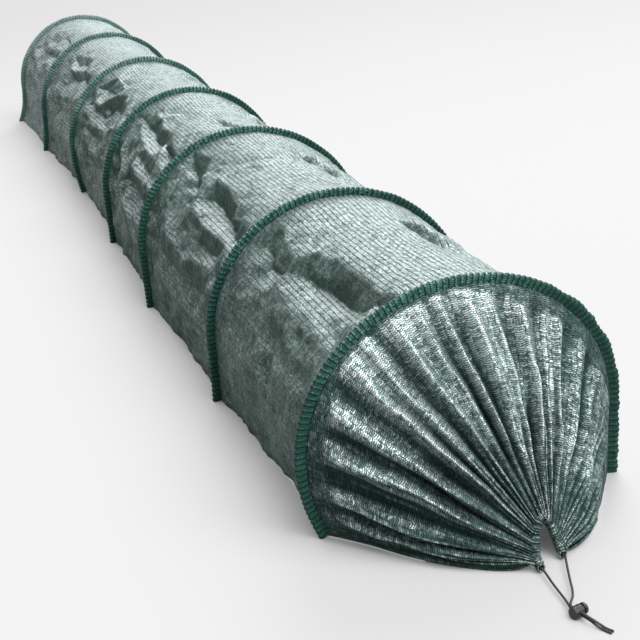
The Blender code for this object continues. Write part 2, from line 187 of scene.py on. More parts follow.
# Knitted shade cloth. The UV map is in metres: U round the girth, V along the row.
# A noise is given as its scale, detail and roughness, and spots as a noise and the
# heights at which they start and are full.

knit = {
    "ribPitch": 0.0083,
    "stitchPitch": 0.0029,
    "wander": (80.0, 2.0),
    "breakStretch": (260, 95),  # of the noise that breaks the grooves
    "breaks": (1.0, 2.0, 0.6),
    "breakRange": (0.36, 0.58),
    "grooveEdge": 0.97,
    "rungSlant": 0.45,
    "rungShift": 0.37,
    "patches": (17.0, 4.0, 0.6, 0.35, 0.68),
    "flecks": (300.0, 2.0, 0.7, 0.40, 0.62),
    "clumps": (105.0, 3.0, 0.65, 0.40, 0.60),
    "crumple": (60.0, 3.0, 0.6),
    "patchShare": 0.25,
    "tintShare": 0.7,
    "grooveHeight": 0.8,
    "fleckHeight": 0.35,
    "bump": (0.8, 0.0011),  # strength and depth
    "ior": 1.45,
}


def knitFinish(name, gap, tape, ribs, stitches, crests, rough, gloss):
    finish = Finish(name)
    girth, along = finish.onCloth()
    place = finish.place()
    wander = finish.noise(place, *knit["wander"]) - 0.5
    patch, fleck, clump = [finish.spots(place, *knit[key]) for key in ("patches", "flecks", "clumps")]
    # The attribute read here holds the light and shade painted into each point, from 0 to 1; where it is
    # high the tapes are painted brighter, glossier and more metallic
    paintedLight = finish.add("Attribute", outlet=2, attribute_name="paintedLight")
    # Dark grooves between the ribs, broken here and there
    column = girth / knit["ribPitch"] + wander * ribs["wander"]
    fromRib = column.zigzag()
    wide, high = knit["breakStretch"]
    stretch = finish.add("CombineXYZ", {0: girth * wide, 1: along * high})
    breaks = finish.noise(stretch, *knit["breaks"])
    breaks = finish.step(breaks, *knit["breakRange"], 1 - ribs["broken"], 1.0)
    groove = finish.step(fromRib, 1 - ribs["share"], knit["grooveEdge"]) * breaks
    groove = groove * finish.step(paintedLight, *ribs["crests"], ribs["least"], 1.0) * ribs["dark"]
    # Tapes laid across each rib like rungs
    rung = along / knit["stitchPitch"] + fromRib * knit["rungSlant"]
    rung = rung + column.math("FLOOR") * knit["rungShift"] + wander * stitches["wander"]
    cell = (column * stitches["cells"]).math("FLOOR")
    spot = finish.add("CombineXYZ", {0: cell, 1: rung.math("FLOOR")})
    luck = finish.add("TexWhiteNoise", {"Vector": spot}, noise_dimensions="2D")
    bright = finish.step(1 - rung.zigzag(), *stitches["edge"])
    lit = luck.within(stitches["uneven"]) * paintedLight.within(1 - crests["least"])
    lit = lit * patch.within(knit["patchShare"]) * fleck.within(stitches["flecks"])
    lit = lit * clump.within(stitches["clumps"])
    amount = (bright * lit * crests["share"] * (1 - groove)).math("MINIMUM", 1.0)
    shade = (groove + (1 - bright) * stitches["shade"]).math("MINIMUM", 1.0)
    tone = finish.mix(shade, finish.mix(patch, gap[0], gap[1]), gap[2])
    tint = luck.within(stitches["motley"]) * paintedLight.within(knit["tintShare"])
    colour = finish.mix(amount, tone, finish.mix(tint, *tape))
    height = bright * lit + (1 - groove) * knit["grooveHeight"] + fleck * knit["fleckHeight"]
    height = height + finish.noise(place, *knit["crumple"]) * gloss["crumple"]
    finish.dress(
        Base_Color=colour,
        Roughness=rough[1] - amount * (rough[1] - rough[0]),
        Metallic=amount * gloss["metal"],
        Normal=finish.bump(height, *knit["bump"]),
        IOR=knit["ior"],
        Specular_IOR_Level=gloss["level"],
        Specular_Tint=gloss["edge"],
    )
    return finish.material


coverKnit = {
    "gap": ((0.016, 0.046, 0.034), (0.026, 0.062, 0.047), (0.007, 0.024, 0.017)),
    "tape": ((0.33, 0.48, 0.44), (0.495, 0.555, 0.567)),
    "ribs": {
        "share": 0.40, "dark": 0.92, "wander": 0.3, "broken": 0.40, "crests": (0.25, 0.75), "least": 0.24,
    },
    "stitches": {
        "wander": 2.6, "cells": 1, "edge": (-1.4, 0.5), "uneven": 0.12, "clumps": 0.5, "flecks": 0.65,
        "shade": 0.0, "motley": 0.35,
    },
    "crests": {"least": 0.12, "share": 1.95},
    "rough": (0.36, 0.66),
    "gloss": {"metal": 0.55, "level": 0.22, "edge": (0.40, 0.46, 0.44), "crumple": 2.6},
}
endKnit = {
    "gap": ((0.008, 0.036, 0.029), (0.016, 0.056, 0.045), (0.002, 0.010, 0.008)),
    "tape": ((0.42, 0.57, 0.555), (0.88, 0.96, 0.96)),
    "ribs": {"share": 0.4, "dark": 0.6, "wander": 0.6, "broken": 0.8, "crests": (0.0, 0.5), "least": 0.7},
    "stitches": {
        "wander": 1.3, "cells": 1, "edge": (0.12, 0.44), "uneven": 0.62, "clumps": 0.4, "flecks": 0.6,
        "shade": 0.85, "motley": 1.0,
    },
    "crests": {"least": 0.03, "share": 4.0},
    "rough": (0.28, 0.68),
    "gloss": {"metal": 0.8, "level": 0.12, "edge": (0.5, 0.6, 0.58), "crumple": 1.2},
}
sleeveKnit = {
    "gap": ((0.008, 0.058, 0.043), (0.014, 0.085, 0.064), (0.001, 0.014, 0.010)),
    "tape": ((0.075, 0.27, 0.21), (0.24, 0.50, 0.42)),
    "ribs": {"share": 0.5, "dark": 0.97, "wander": 0.2, "broken": 0.1, "crests": (0.0, 0.2), "least": 0.8},
    "stitches": {
        "wander": 0.6, "cells": 2, "edge": (0.1, 0.6), "uneven": 0.75, "clumps": 0.3, "flecks": 0.6,
        "shade": 0.3, "motley": 1.0,
    },
    "crests": {"least": 0.02, "share": 2.5},
    "rough": (0.42, 0.62),
    "gloss": {"metal": 0.0, "level": 0.3, "edge": (1.0, 1.0, 1.0), "crumple": 0.0},
}
# Copies of the sleeve cloth painted paler for the far sleeves, the last one most
farPaintedPaleKnit = {
    **sleeveKnit,
    "gap": ((0.020, 0.105, 0.078), (0.032, 0.140, 0.105), (0.006, 0.036, 0.027)),
    "tape": ((0.24, 0.48, 0.40), (0.50, 0.68, 0.63)),
}
lastPaintedPaleKnit = {
    **sleeveKnit,
    "gap": ((0.12, 0.25, 0.21), (0.17, 0.31, 0.27), (0.05, 0.13, 0.11)),
    "tape": ((0.34, 0.52, 0.47), (0.60, 0.72, 0.70)),
}
shadeCloth = knitFinish("shadeCloth", **coverKnit)
gatheredCloth = knitFinish("gatheredCloth", **endKnit)
nearSleeveCloth = knitFinish("sleeveCloth", **sleeveKnit)
farPaintedPaleSleeveCloth = knitFinish("farPaintedPaleSleeveCloth", **farPaintedPaleKnit)
lastPaintedPaleSleeveCloth = knitFinish("lastPaintedPaleSleeveCloth", **lastPaintedPaleKnit)


weave = {
    "strands": 4,
    "pitch": 0.0034,
    "fuzz": (900.0, 3.0),
    "tones": ((0.026, 0.022, 0.021), (0.075, 0.066, 0.062)),
    "toneShares": (0.6, 0.3),  # of the weave and the fuzz
    "fuzzHeight": 0.4,
    "bump": (0.7, 0.0003),
    "rough": (0.68, -0.15),
}


def cordFinish():
    finish = Finish("braidedCord")
    around, along = finish.onCloth()
    around, along = around * weave["strands"], along / weave["pitch"]
    braid = (around + along).zigzag().math("MAXIMUM", (around - along).zigzag())
    fuzz = finish.noise(finish.place(), *weave["fuzz"])
    byBraid, byFuzz = weave["toneShares"]
    finish.dress(
        Base_Color=finish.mix(braid * byBraid + fuzz * byFuzz, *weave["tones"]),
        Roughness=weave["rough"][0] + fuzz * weave["rough"][1],
        Normal=finish.bump(braid + fuzz * weave["fuzzHeight"], *weave["bump"]),
    )
    return finish.material


plastic = {
    "mottle": (420.0, 3.0, 0.5, 0.40, 0.62),
    "grain": (2600.0, 2.0),
    "tones": ((0.012, 0.009, 0.009), (0.036, 0.028, 0.027)),
    "mottleHeight": 0.5,
    "bump": (0.35, 0.0002),
    "rough": (0.34, 0.22),
}


def plasticFinish():
    finish = Finish("lockPlastic")
    place = finish.place()
    mottle = finish.spots(place, *plastic["mottle"])
    height = finish.noise(place, *plastic["grain"]) + mottle * plastic["mottleHeight"]
    finish.dress(
        Base_Color=finish.mix(mottle, *plastic["tones"]),
        Roughness=plastic["rough"][0] + mottle * plastic["rough"][1],
        Normal=finish.bump(height, *plastic["bump"]),
    )
    return finish.material


metals = {
    "galvanisedWire": {
        "haze": (60.0, 4.0),
        "tones": ((0.36, 0.37, 0.38), (0.56, 0.57, 0.58)),
        "rough": (0.32, 0.3),
        "spangles": (420.0, 0.12),  # scale and share of the tone
    },
    "springSteel": {
        "haze": (500.0, 3.0),
        "tones": ((0.45, 0.45, 0.46), (0.62, 0.62, 0.63)),
        "rough": (0.22, 0.2),
    },
}


def metalFinish(name, haze, tones, rough, spangles=None):
    finish = Finish(name)
    place = finish.place()
    dull = finish.noise(place, *haze)
    colour = finish.mix(dull, *tones)
    if spangles:
        scale, share = spangles
        spangle = finish.add("TexVoronoi", {"Vector": place, "Scale": scale}, outlet=1)
        colour = finish.mix(share, colour, spangle)
    finish.dress(Base_Color=colour, Metallic=1.0, Roughness=rough[0] + dull * rough[1])
    return finish.material


cordCloth = cordFinish()
lockPlastic = plasticFinish()
galvanisedWire, springSteel = [metalFinish(name, **metal) for name, metal in metals.items()]
print("finishes made")


# Grids of points made into pieces

def addGrid(name, grid, uv, material, closed=False, paintedLight=None):
    # grid[i, j] is a point, uv[i, j] its place on the flat cloth. closed joins the last
    # row of points to the first, as round a tube.
    rows, columns = grid.shape[:2]
    seam = (rows - 1) * columns
    corner = np.arange(seam).reshape(-1, columns)[:, :-1]
    faces = np.stack([corner, corner + 1, corner + columns + 1, corner + columns], -1).reshape(-1, 4)
    places = np.stack([uv[:-1, :-1], uv[:-1, 1:], uv[1:, 1:], uv[1:, :-1]], 2)
    points = grid.reshape(-1, 3)
    if closed:
        faces, points = faces % seam, points[:seam]
    mesh = bpy.data.meshes.new(name)
    mesh.from_pydata(points.tolist(), [], faces.tolist())
    mesh.uv_layers.new(name="cloth").data.foreach_set("uv", places.astype(np.float32).ravel())
    # The light and shade painted at each point is kept as an attribute for the finish
    if paintedLight is not None:
        values = paintedLight.reshape(-1)[: len(points)].astype(np.float32)
        mesh.attributes.new("paintedLight", "FLOAT", "POINT").data.foreach_set("value", values)
    mesh.materials.append(material)
    mesh.shade_smooth()
    piece = bpy.data.objects.new(name, mesh)
    bpy.context.scene.collection.objects.link(piece)
    return piece


def thicken(piece, thickness):
    wall = piece.modifiers.new("wall", "SOLIDIFY")
    wall.thickness = thickness
    wall.offset = -1.0
    wall.use_even_offset = False


def settle(piece, node, body=None):
    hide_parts(node)
    if body:
        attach(piece, body)


def smoothShare(value, low, high):
    t = np.clip((value - low) / (high - low), 0, 1)
    return t * t * (3 - 2 * t)


def fromLeast(least, share):
    return least + (1 - least) * share


def unit(vectors):
    return vectors / np.linalg.norm(vectors, axis=-1, keepdims=True)


latticeSide = 160


def softNoise(u, v, size, seed, stretch=1.0):
    # Smooth random hills about as wide as size, between -1 and 1.
    a, b = u / size + 50, v / (size * stretch) + 50
    lattice = np.random.default_rng(seed).uniform(-1, 1, (latticeSide, latticeSide))
    i, j = np.floor(a).astype(int), np.floor(b).astype(int)
    s, t = a - i, b - j
    s, t = s * s * (3 - 2 * s), t * t * (3 - 2 * t)
    i, j = i % (latticeSide - 1), j % (latticeSide - 1)
    low = lattice[i, j] * (1 - s) + lattice[i + 1, j] * s
    high = lattice[i, j + 1] * (1 - s) + lattice[i + 1, j + 1] * s
    return low * (1 - t) + high * t


def flatFacets(u, v, points, edges):
    # Heights of flat triangles spread between points (u, v, height), with a crease
    # along each of the edges.
    flat = [Vector(point[:2]) for point in points]
    spots, _, faces, origins, _, _ = delaunay_2d_cdt(flat, edges, [], 0, 1e-6)
    heights = []
    for spot, origin in zip(spots, origins):
        if origin:
            heights.append(points[origin[0]][2])
            continue
        # Where two edges cross, the height halfway between theirs
        found = []
        for first, last in edges:
            way = flat[last] - flat[first]
            share = (spot - flat[first]).dot(way) / way.length_squared
            if 0 < share < 1 and (flat[first] + way * share - spot).length < 1e-5:
                found.append(points[first][2] * (1 - share) + points[last][2] * share)
        heights.append(sum(found) / len(found) if found else 0.0)
    field = np.zeros_like(u)
    for a, b, c in faces:
        p, q, r = spots[a], spots[b], spots[c]
        whole = (q.y - r.y) * (p.x - r.x) + (r.x - q.x) * (p.y - r.y)
        if abs(whole) < 1e-12:
            continue
        rows = slice(*np.searchsorted(u[:, 0], (min(p.x, q.x, r.x) - 1e-5, max(p.x, q.x, r.x) + 1e-5)))
        columns = slice(*np.searchsorted(v[0], (min(p.y, q.y, r.y) - 1e-5, max(p.y, q.y, r.y) + 1e-5)))
        x, y = u[rows, columns] - r.x, v[rows, columns] - r.y
        s = ((q.y - r.y) * x + (r.x - q.x) * y) / whole
        t = ((r.y - p.y) * x + (p.x - r.x) * y) / whole
        inside = (s >= -1e-6) & (t >= -1e-6) & (s + t <= 1 + 1e-6)
        height = heights[a] * s + heights[b] * t + heights[c] * (1 - s - t)
        field[rows, columns] = np.where(inside, height, field[rows, columns])
    return field


def softened(grid, times):
    # Each value drawn towards its neighbours', the rim's kept.
    for _ in range(times):
        inner = grid[1:-1, 1:-1] * 4 + grid[:-2, 1:-1] * 2 + grid[2:, 1:-1] * 2
        inner += grid[1:-1, :-2] * 2 + grid[1:-1, 2:] * 2
        inner += grid[:-2, :-2] + grid[2:, 2:] + grid[:-2, 2:] + grid[2:, :-2]
        grid = grid.copy()
        grid[1:-1, 1:-1] = inner / 16
    return grid


def gridNormals(grid):
    out = np.cross(np.gradient(grid, axis=1), np.gradient(grid, axis=0))
    out /= np.linalg.norm(out, axis=2)[..., None] + 1e-12
    return out if out[len(out) // 2, len(out[0]) // 2, 2] > 0 else -out


# Cords. The routes are those of the solids.

cords = {
    "diameter": 0.003,
    "sides": 14,
    "spacing": 0.0007,
    "curveSteps": 24,
    "endRound": (0.25, 0.0006),  # share of the radius, and length
    "plies": (8, 0.035),  # count, and share of the radius
    "left": (
        (0.0140, -1.6876, 0.0072), (0.0139, -1.6950, 0.0070), (0.0130, -1.7050, 0.0064),
        (0.0113, -1.7200, 0.0057), (0.0101, -1.7350, 0.0053), (0.0088, -1.7500, 0.0052),
        (0.0068, -1.7640, 0.0055), (0.0051, -1.7744, 0.00585), (0.0076, -1.7836, 0.00585),
        (0.0104, -1.7940, 0.00585), (0.0130, -1.8038, 0.00575), (0.0160, -1.8120, 0.0036),
        (0.0202, -1.8195, 0.0018), (0.0250, -1.8290, 0.0017),
    ),
    "right": (
        (0.0530, -1.6730, 0.0072), (0.0522, -1.6795, 0.0071), (0.0480, -1.6890, 0.0069),
        (0.0414, -1.7040, 0.0065), (0.0320, -1.7260, 0.0062), (0.0252, -1.7420, 0.0067),
        (0.0175, -1.7560, 0.0077), (0.0085, -1.7670, 0.0088), (0.0051, -1.7744, 0.00915),
        (0.0076, -1.7836, 0.00915), (0.0104, -1.7940, 0.00915), (0.0130, -1.8038, 0.0090),
        (0.0162, -1.8100, 0.0076), (0.0207, -1.8152, 0.0044), (0.0247, -1.8202, 0.0020),
        (0.0290, -1.8270, 0.0017),
    ),
}


def smoothRoute(route, spacing):
    nodes = [Vector(p) for p in route]
    nodes = [2 * nodes[0] - nodes[1], *nodes, 2 * nodes[-1] - nodes[-2]]
    fine = []
    for a, b, c, d in zip(nodes, nodes[1:], nodes[2:], nodes[3:]):
        for step in range(cords["curveSteps"]):
            t = step / cords["curveSteps"]
            bend = (2 * a - 5 * b + 4 * c - d) * t**2 + (3 * b - a - 3 * c + d) * t**3
            fine.append((2 * b + (c - a) * t + bend) / 2)
    return evenly(np.array([*fine, nodes[-2]]), spacing)


def evenly(line, spacing):
    along = measure(line)
    places = np.linspace(0, along[-1], max(2, round(along[-1] / spacing)) + 1)
    return np.array([np.interp(places, along, column) for column in line.T]).T


def measure(line):
    steps = np.linalg.norm(np.diff(line, axis=0), axis=1)
    return np.concatenate([[0], np.cumsum(steps)])


def sweepFrames(line):
    # Two directions square to the line at each point, without a twist between them
    ways = unit(np.gradient(line, axis=0))
    across = np.cross(ways[0], (0, 0, 1))
    frames = []
    for way in ways:
        across = unit(across - way * across.dot(way))
        frames.append((across, np.cross(across, way)))
    return frames


def addTube(name, line, radiusAt, sides, material, capped=True, uvScale=None, paintedLight=None):
    # A tube round a line of points. capped closes its ends. uvScale lays the cloth with
    # U along the tube and V round it, and the last argument gives the light and shade painted at each
    # point.
    along = measure(line)
    angles = np.linspace(0, 2 * math.pi, sides + 1)
    rings, ringUv = [], []
    for point, place, (across, up) in zip(line, along, sweepFrames(line)):
        radius = radiusAt(place, along[-1], angles)
        ring = point + np.outer(radius * np.cos(angles), across) + np.outer(radius * np.sin(angles), up)
        rings.append(ring)
        ringUv.append(np.stack([angles / (2 * math.pi), np.full(sides + 1, place)], 1))
    uv = np.stack(ringUv, 1)
    if uvScale:
        uv = uv[..., ::-1] * uvScale
    if paintedLight is not None:
        paintedLight = np.repeat(paintedLight[None], sides + 1, 0)
    tube = addGrid(name, np.stack(rings, 1), uv, material, closed=True, paintedLight=paintedLight)
    if capped:
        shell = bmesh.new()
        shell.from_mesh(tube.data)
        rim = [edge for edge in shell.edges if edge.is_boundary]
        bmesh.ops.holes_fill(shell, edges=rim, sides=0)
        bmesh.ops.recalc_face_normals(shell, faces=shell.faces)
        shell.to_mesh(tube.data)
        shell.free()
    return tube


def addDrawstring(name, node, route):
    line = smoothRoute(route, cords["spacing"])

    def radiusAt(place, whole, angles):
        drop, reach = cords["endRound"]
        shrink = 1 - drop * max(0.0, 1 - min(place, whole - place) / reach) ** 2
        count, depth = cords["plies"]
        ply = 1 + depth * np.cos(count * angles + place / (weave["pitch"] / 2) * math.pi)
        return cords["diameter"] / 2 * shrink * ply

    piece = addTube(name, line, radiusAt, cords["sides"], cordCloth)
    settle(piece, node, "near_mouth")


addDrawstring("drawstringLeft", "drawstring_left", cords["left"])
addDrawstring("drawstringRight", "drawstring_right", cords["right"])
print("cords made")


# Hoops

row = {
    "places": (-1.5, -1.029, -0.545, -0.058, 0.436, 0.996, 1.5),
    "radius": 0.219,
    "leg": 0.113,
    "spread": (0.045, 0.01, 0.04, -0.022, -0.022, -0.018, -0.01),
    "toe": (0.12, 0.0, 0.0, 0.0, 0.055, -0.06, -0.12),
    "leanDeg": (-0.8, -1.6, 4.7, 4.0, 4.9, 0.2, -0.8),
    "turnDeg": (-2.0, -3.1, -4.6, 0.2, 0.4, -0.4, -1.0),
    "legPoints": 60,
    "archPoints": 400,
    "wire": 0.004,
    "wireSides": 16,
    "wirePoints": 181,
    "wireEnd": 0.8,  # share of its radius at the cut ends
    "girth": 0.88,  # of the flat cloth, foot to foot
}
hoopCount = len(row["places"])


def stand(hoop, x, y, z):
    lean = math.tan(math.radians(row["leanDeg"][hoop]))
    turn = math.tan(math.radians(row["turnDeg"][hoop]))
    return np.stack([x, row["places"][hoop] + y + z * lean + x * turn, z], -1)


def hoopLine(hoop, inset, shares):
    # Points (x, z) and outward normals at shares of the girth from the left foot.
    half = row["radius"] * (1 + row["spread"][hoop]) - inset
    rise = row["radius"] - inset
    toe = row["radius"] * row["toe"][hoop]
    leg = row["leg"]
    below = np.linspace(1, 0, row["legPoints"])
    left = np.stack([-half + toe * below**2, leg * (1 - below)], 1)
    angle = np.linspace(math.pi, 0, row["archPoints"])[1:-1]
    arch = np.stack([half * np.cos(angle), leg + rise * np.sin(angle)], 1)
    right = np.stack([np.full(len(below), half), leg * below], 1)
    line = np.concatenate([left, arch, right])
    along = measure(line)
    along /= along[-1]
    ways = np.gradient(line, axis=0)
    out = unit(np.stack([-ways[:, 1], ways[:, 0]], 1))
    points, normals = [
        np.stack([np.interp(shares, along, values[:, k]) for k in (0, 1)], -1) for values in (line, out)
    ]
    return points, unit(normals)


def addHoop(hoop):
    points, _ = hoopLine(hoop, 0.0, np.linspace(0, 1, row["wirePoints"]))
    line = stand(hoop, points[:, 0], 0.0, points[:, 1])

    def radiusAt(place, whole, angles):
        atEnd = min(place, whole - place) < 1e-9
        return row["wire"] / 2 * (row["wireEnd"] if atEnd else 1.0)

    piece = addTube(f"hoopWire{hoop + 1}", line, radiusAt, row["wireSides"], galvanisedWire)
    settle(piece, f"hoop_{hoop + 1}", f"station_{hoop + 1}")


for hoop in range(hoopCount):
    addHoop(hoop)
print("hoops made")


# Sleeves

sleeves = {
    "bulge": 0.0035,  # radius of the cloth over the wire
    "cloth": 0.0008,
    "depth": 0.0122,  # from the wire to the seam's edge
    "seamHalf": 0.0011,
    "seamFade": 0.004,
    "outlinePoints": 22,
    "arcPoints": 40,
    "stepsPerRib": 8,
    "ribDepth": 0.0022,
    "wobble": (0.0006, 0.03),  # height and size
    "ruffled": (0.60, 0.70),  # share of the girth from which the first sleeve is rumpled
    "ruffle": (0.0026, 0.012),
    "clearance": 0.0002,
    "litSideFrom": (0.19, 0.33),  # shares of the girth between which the arch's lit side is painted brighter
    "litSideTo": (0.52, 0.66),
    "mottle": 0.016,
    "light": (0.08, 0.12, 0.70, -0.06),  # least, and by the random mottle, the painted lit side and the rumples' painted shade
    # The far sleeves painted paler, the last one most
    "paintedPaleness": (0.0, 0.04, 0.12, 0.16, 0.16, 0.40, 0.90),
    "paintedPalenessLeast": 0.3,
}
sleeveCloths = [nearSleeveCloth] * 4 + [farPaintedPaleSleeveCloth] * 2 + [lastPaintedPaleSleeveCloth]


def sleeveOutline(count):
    # The fin's outline, from one edge of the seam over the wire to the other, as
    # places out from the wire and along the row.
    radius, depth, half = sleeves["bulge"], sleeves["depth"], sleeves["seamHalf"]
    reach = math.hypot(depth, half)
    tilt = math.atan2(half, -depth) - math.acos(radius / reach)
    turn = np.linspace(tilt, -tilt, sleeves["arcPoints"])
    arc = np.stack([radius * np.cos(turn), radius * np.sin(turn)], 1)
    line = np.concatenate([[(-depth, half)], arc, [(-depth, -half)]])
    return evenly(line, measure(line)[-1] / count)


def addSleeve(hoop):
    outline = sleeveOutline(sleeves["outlinePoints"])
    wire, _ = hoopLine(hoop, 0.0, np.linspace(0, 1, row["archPoints"]))
    length = measure(wire)[-1]
    steps = round(length / knit["ribPitch"]) * sleeves["stepsPerRib"]
    shares = np.linspace(0, 1, steps + 1)
    points, normals = hoopLine(hoop, 0.0, shares)
    along = shares * length

    def hills(size, seed):
        return softNoise(along, along * 0, size, seed)

    phase = along / knit["ribPitch"] * math.pi
    relief = sleeves["ribDepth"] * (np.abs(np.sin(phase)) ** 0.5 - 0.8)
    rumpled = smoothShare(shares, *sleeves["ruffled"]) * (hoop == 0)
    height, size = sleeves["ruffle"]
    ruffle = height * rumpled * (1 + hills(size, 90)) / 2
    height, size = sleeves["wobble"]
    wobble = height * hills(size, 40 + hoop)
    nearSeam = smoothShare(outline[:, 0], -sleeves["depth"], -sleeves["depth"] + sleeves["seamFade"])
    outward = unit(outline)
    swell = (relief + ruffle)[:, None] * nearSeam
    out = outline[:, 0] + swell * outward[:, 0] + wobble[:, None] * nearSeam
    side = outline[:, 1] + swell * outward[:, 1]
    x, z = [points[:, k, None] + out * normals[:, k, None] for k in (0, 1)]
    grid = stand(hoop, x, side, z)
    grid[..., 2] = np.maximum(grid[..., 2], sleeves["clearance"])
    flat = measure(outline)
    uv = np.stack(np.broadcast_arrays(along[:, None] + knit["ribPitch"] / 2, flat), -1)
    # Painted light on the lit side of the arch, painted shade in the rumples, and the far sleeves painted
    # paler
    bright = smoothShare(shares, *sleeves["litSideFrom"]) * (1 - smoothShare(shares, *sleeves["litSideTo"]))
    mottle = 0.5 + 0.5 * hills(sleeves["mottle"], 60 + hoop)
    least, byMottle, bySide, byRumple = sleeves["light"]
    light = least + byMottle * mottle + bySide * bright + byRumple * rumpled
    light += sleeves["paintedPaleness"][hoop] * fromLeast(sleeves["paintedPalenessLeast"], bright)
    paintedLight = np.repeat(light[:, None], len(outline), 1)
    piece = addGrid(f"sleeveCloth{hoop + 1}", grid, uv, sleeveCloths[hoop], paintedLight=paintedLight)
    thicken(piece, sleeves["cloth"])
    settle(piece, f"sleeve_{hoop + 1}", f"station_{hoop + 1}")


for hoop in range(hoopCount):
    addSleeve(hoop)
print("sleeves made")


# Cover bays

bays = {
    "inset": 0.01095,  # the cover's outside, in from the wire
    "edge": 0.0017,  # from a hoop's plane to the cover's edge
    "cloth": 0.0012,
    "girthSteps": 260,
    "lengthSteps": 140,
    "sag": 0.010,
    "sagAtFootShare": 0.25,
    # Shares of the bay's length and girth over which the relief rises from the seams
    "fade": 0.10,
    "footFade": 0.06,
    "slope": (0.02, 0.16),  # distances from the crown, as shares of the girth
    # Facets: spacing, height at the shoulders bay by bay, tries, and corners along each rim
    "facets": (0.042, (0.0038, 0.0075, 0.0095, 0.0100, 0.0100, 0.0090), 500, 18),
    "fineFacets": (0.024, (0.0016, 0.0030, 0.0040, 0.0042, 0.0042, 0.0042), 1300, 38),
    "shoulders": ((0.24, 0.16, 1.0), (0.72, 0.14, 0.6)),  # girth share, spread and weight
    "spacings": (1.6, 0.8),  # times the facets' spacing away from the shoulders, and the loss there
    "level": 0.12,
    "seamGap": 0.01,
    "dropUnit": (0.0011, 0.0011, 0.0011, 0.0010, 0.0008, 0.0007),
    "crooked": (0.0045, 0.0080, 0.0016),  # across, along and into the cloth
    # Waves and crumples: height, size, and stretch along the row
    "swell": (0.0022, 0.085, 1.5),
    "ripple": (0.0028, 0.030, 1.6),
    "rippleAtCrown": 0.35,
    "crumple": (0.0036, 0.040, 1.3),
    "fineCrumple": (0.6, 0.020, 1.3),  # as a share of the other's height
    "crumpleAtCrown": 0.25,
    "pucker": (0.0011, 0.011),
    "widePucker": (1.6, 0.034),
    "puckerReach": 0.028,
    "puckerStart": 0.006,
    # Painted light and shade: lighter where the cloth faces the light and on facets and ridges, darker in
    # creases
    "towardLight": (0.20, 0.10, 0.97),  # the painted light is brightest where the cloth faces this way
    "lightBase": 0.20,
    "lightByFacing": ((0.14, -0.1, 0.6), (0.66, 0.60, 1.0)),
    # Painted light on facets turned toward the light, bay by bay, and painted highlights on ridges with
    # painted shade in the creases
    "relief": (0.38, 0.75, 0.95, 0.95, 0.75, 0.65),
    "ridges": (0.16, 0.22, 0.24, 0.22, 0.20, 0.18),
    "ridgeUnit": 0.0011,
    "ridgeSoftenings": 6,
    # Painted light lifted in the far bays, which are painted paler
    "paintedPaleness": (0.03, 0.0, 0.02, 0.06, 0.26, 0.52),
    # Broad random patches in the painted light
    "patches": ((0.09, 0.075, 200, 1.4), (0.05, 0.022, 210, 1.0)),  # height, size, seed, stretch
    "lightLeast": 0.03,
}

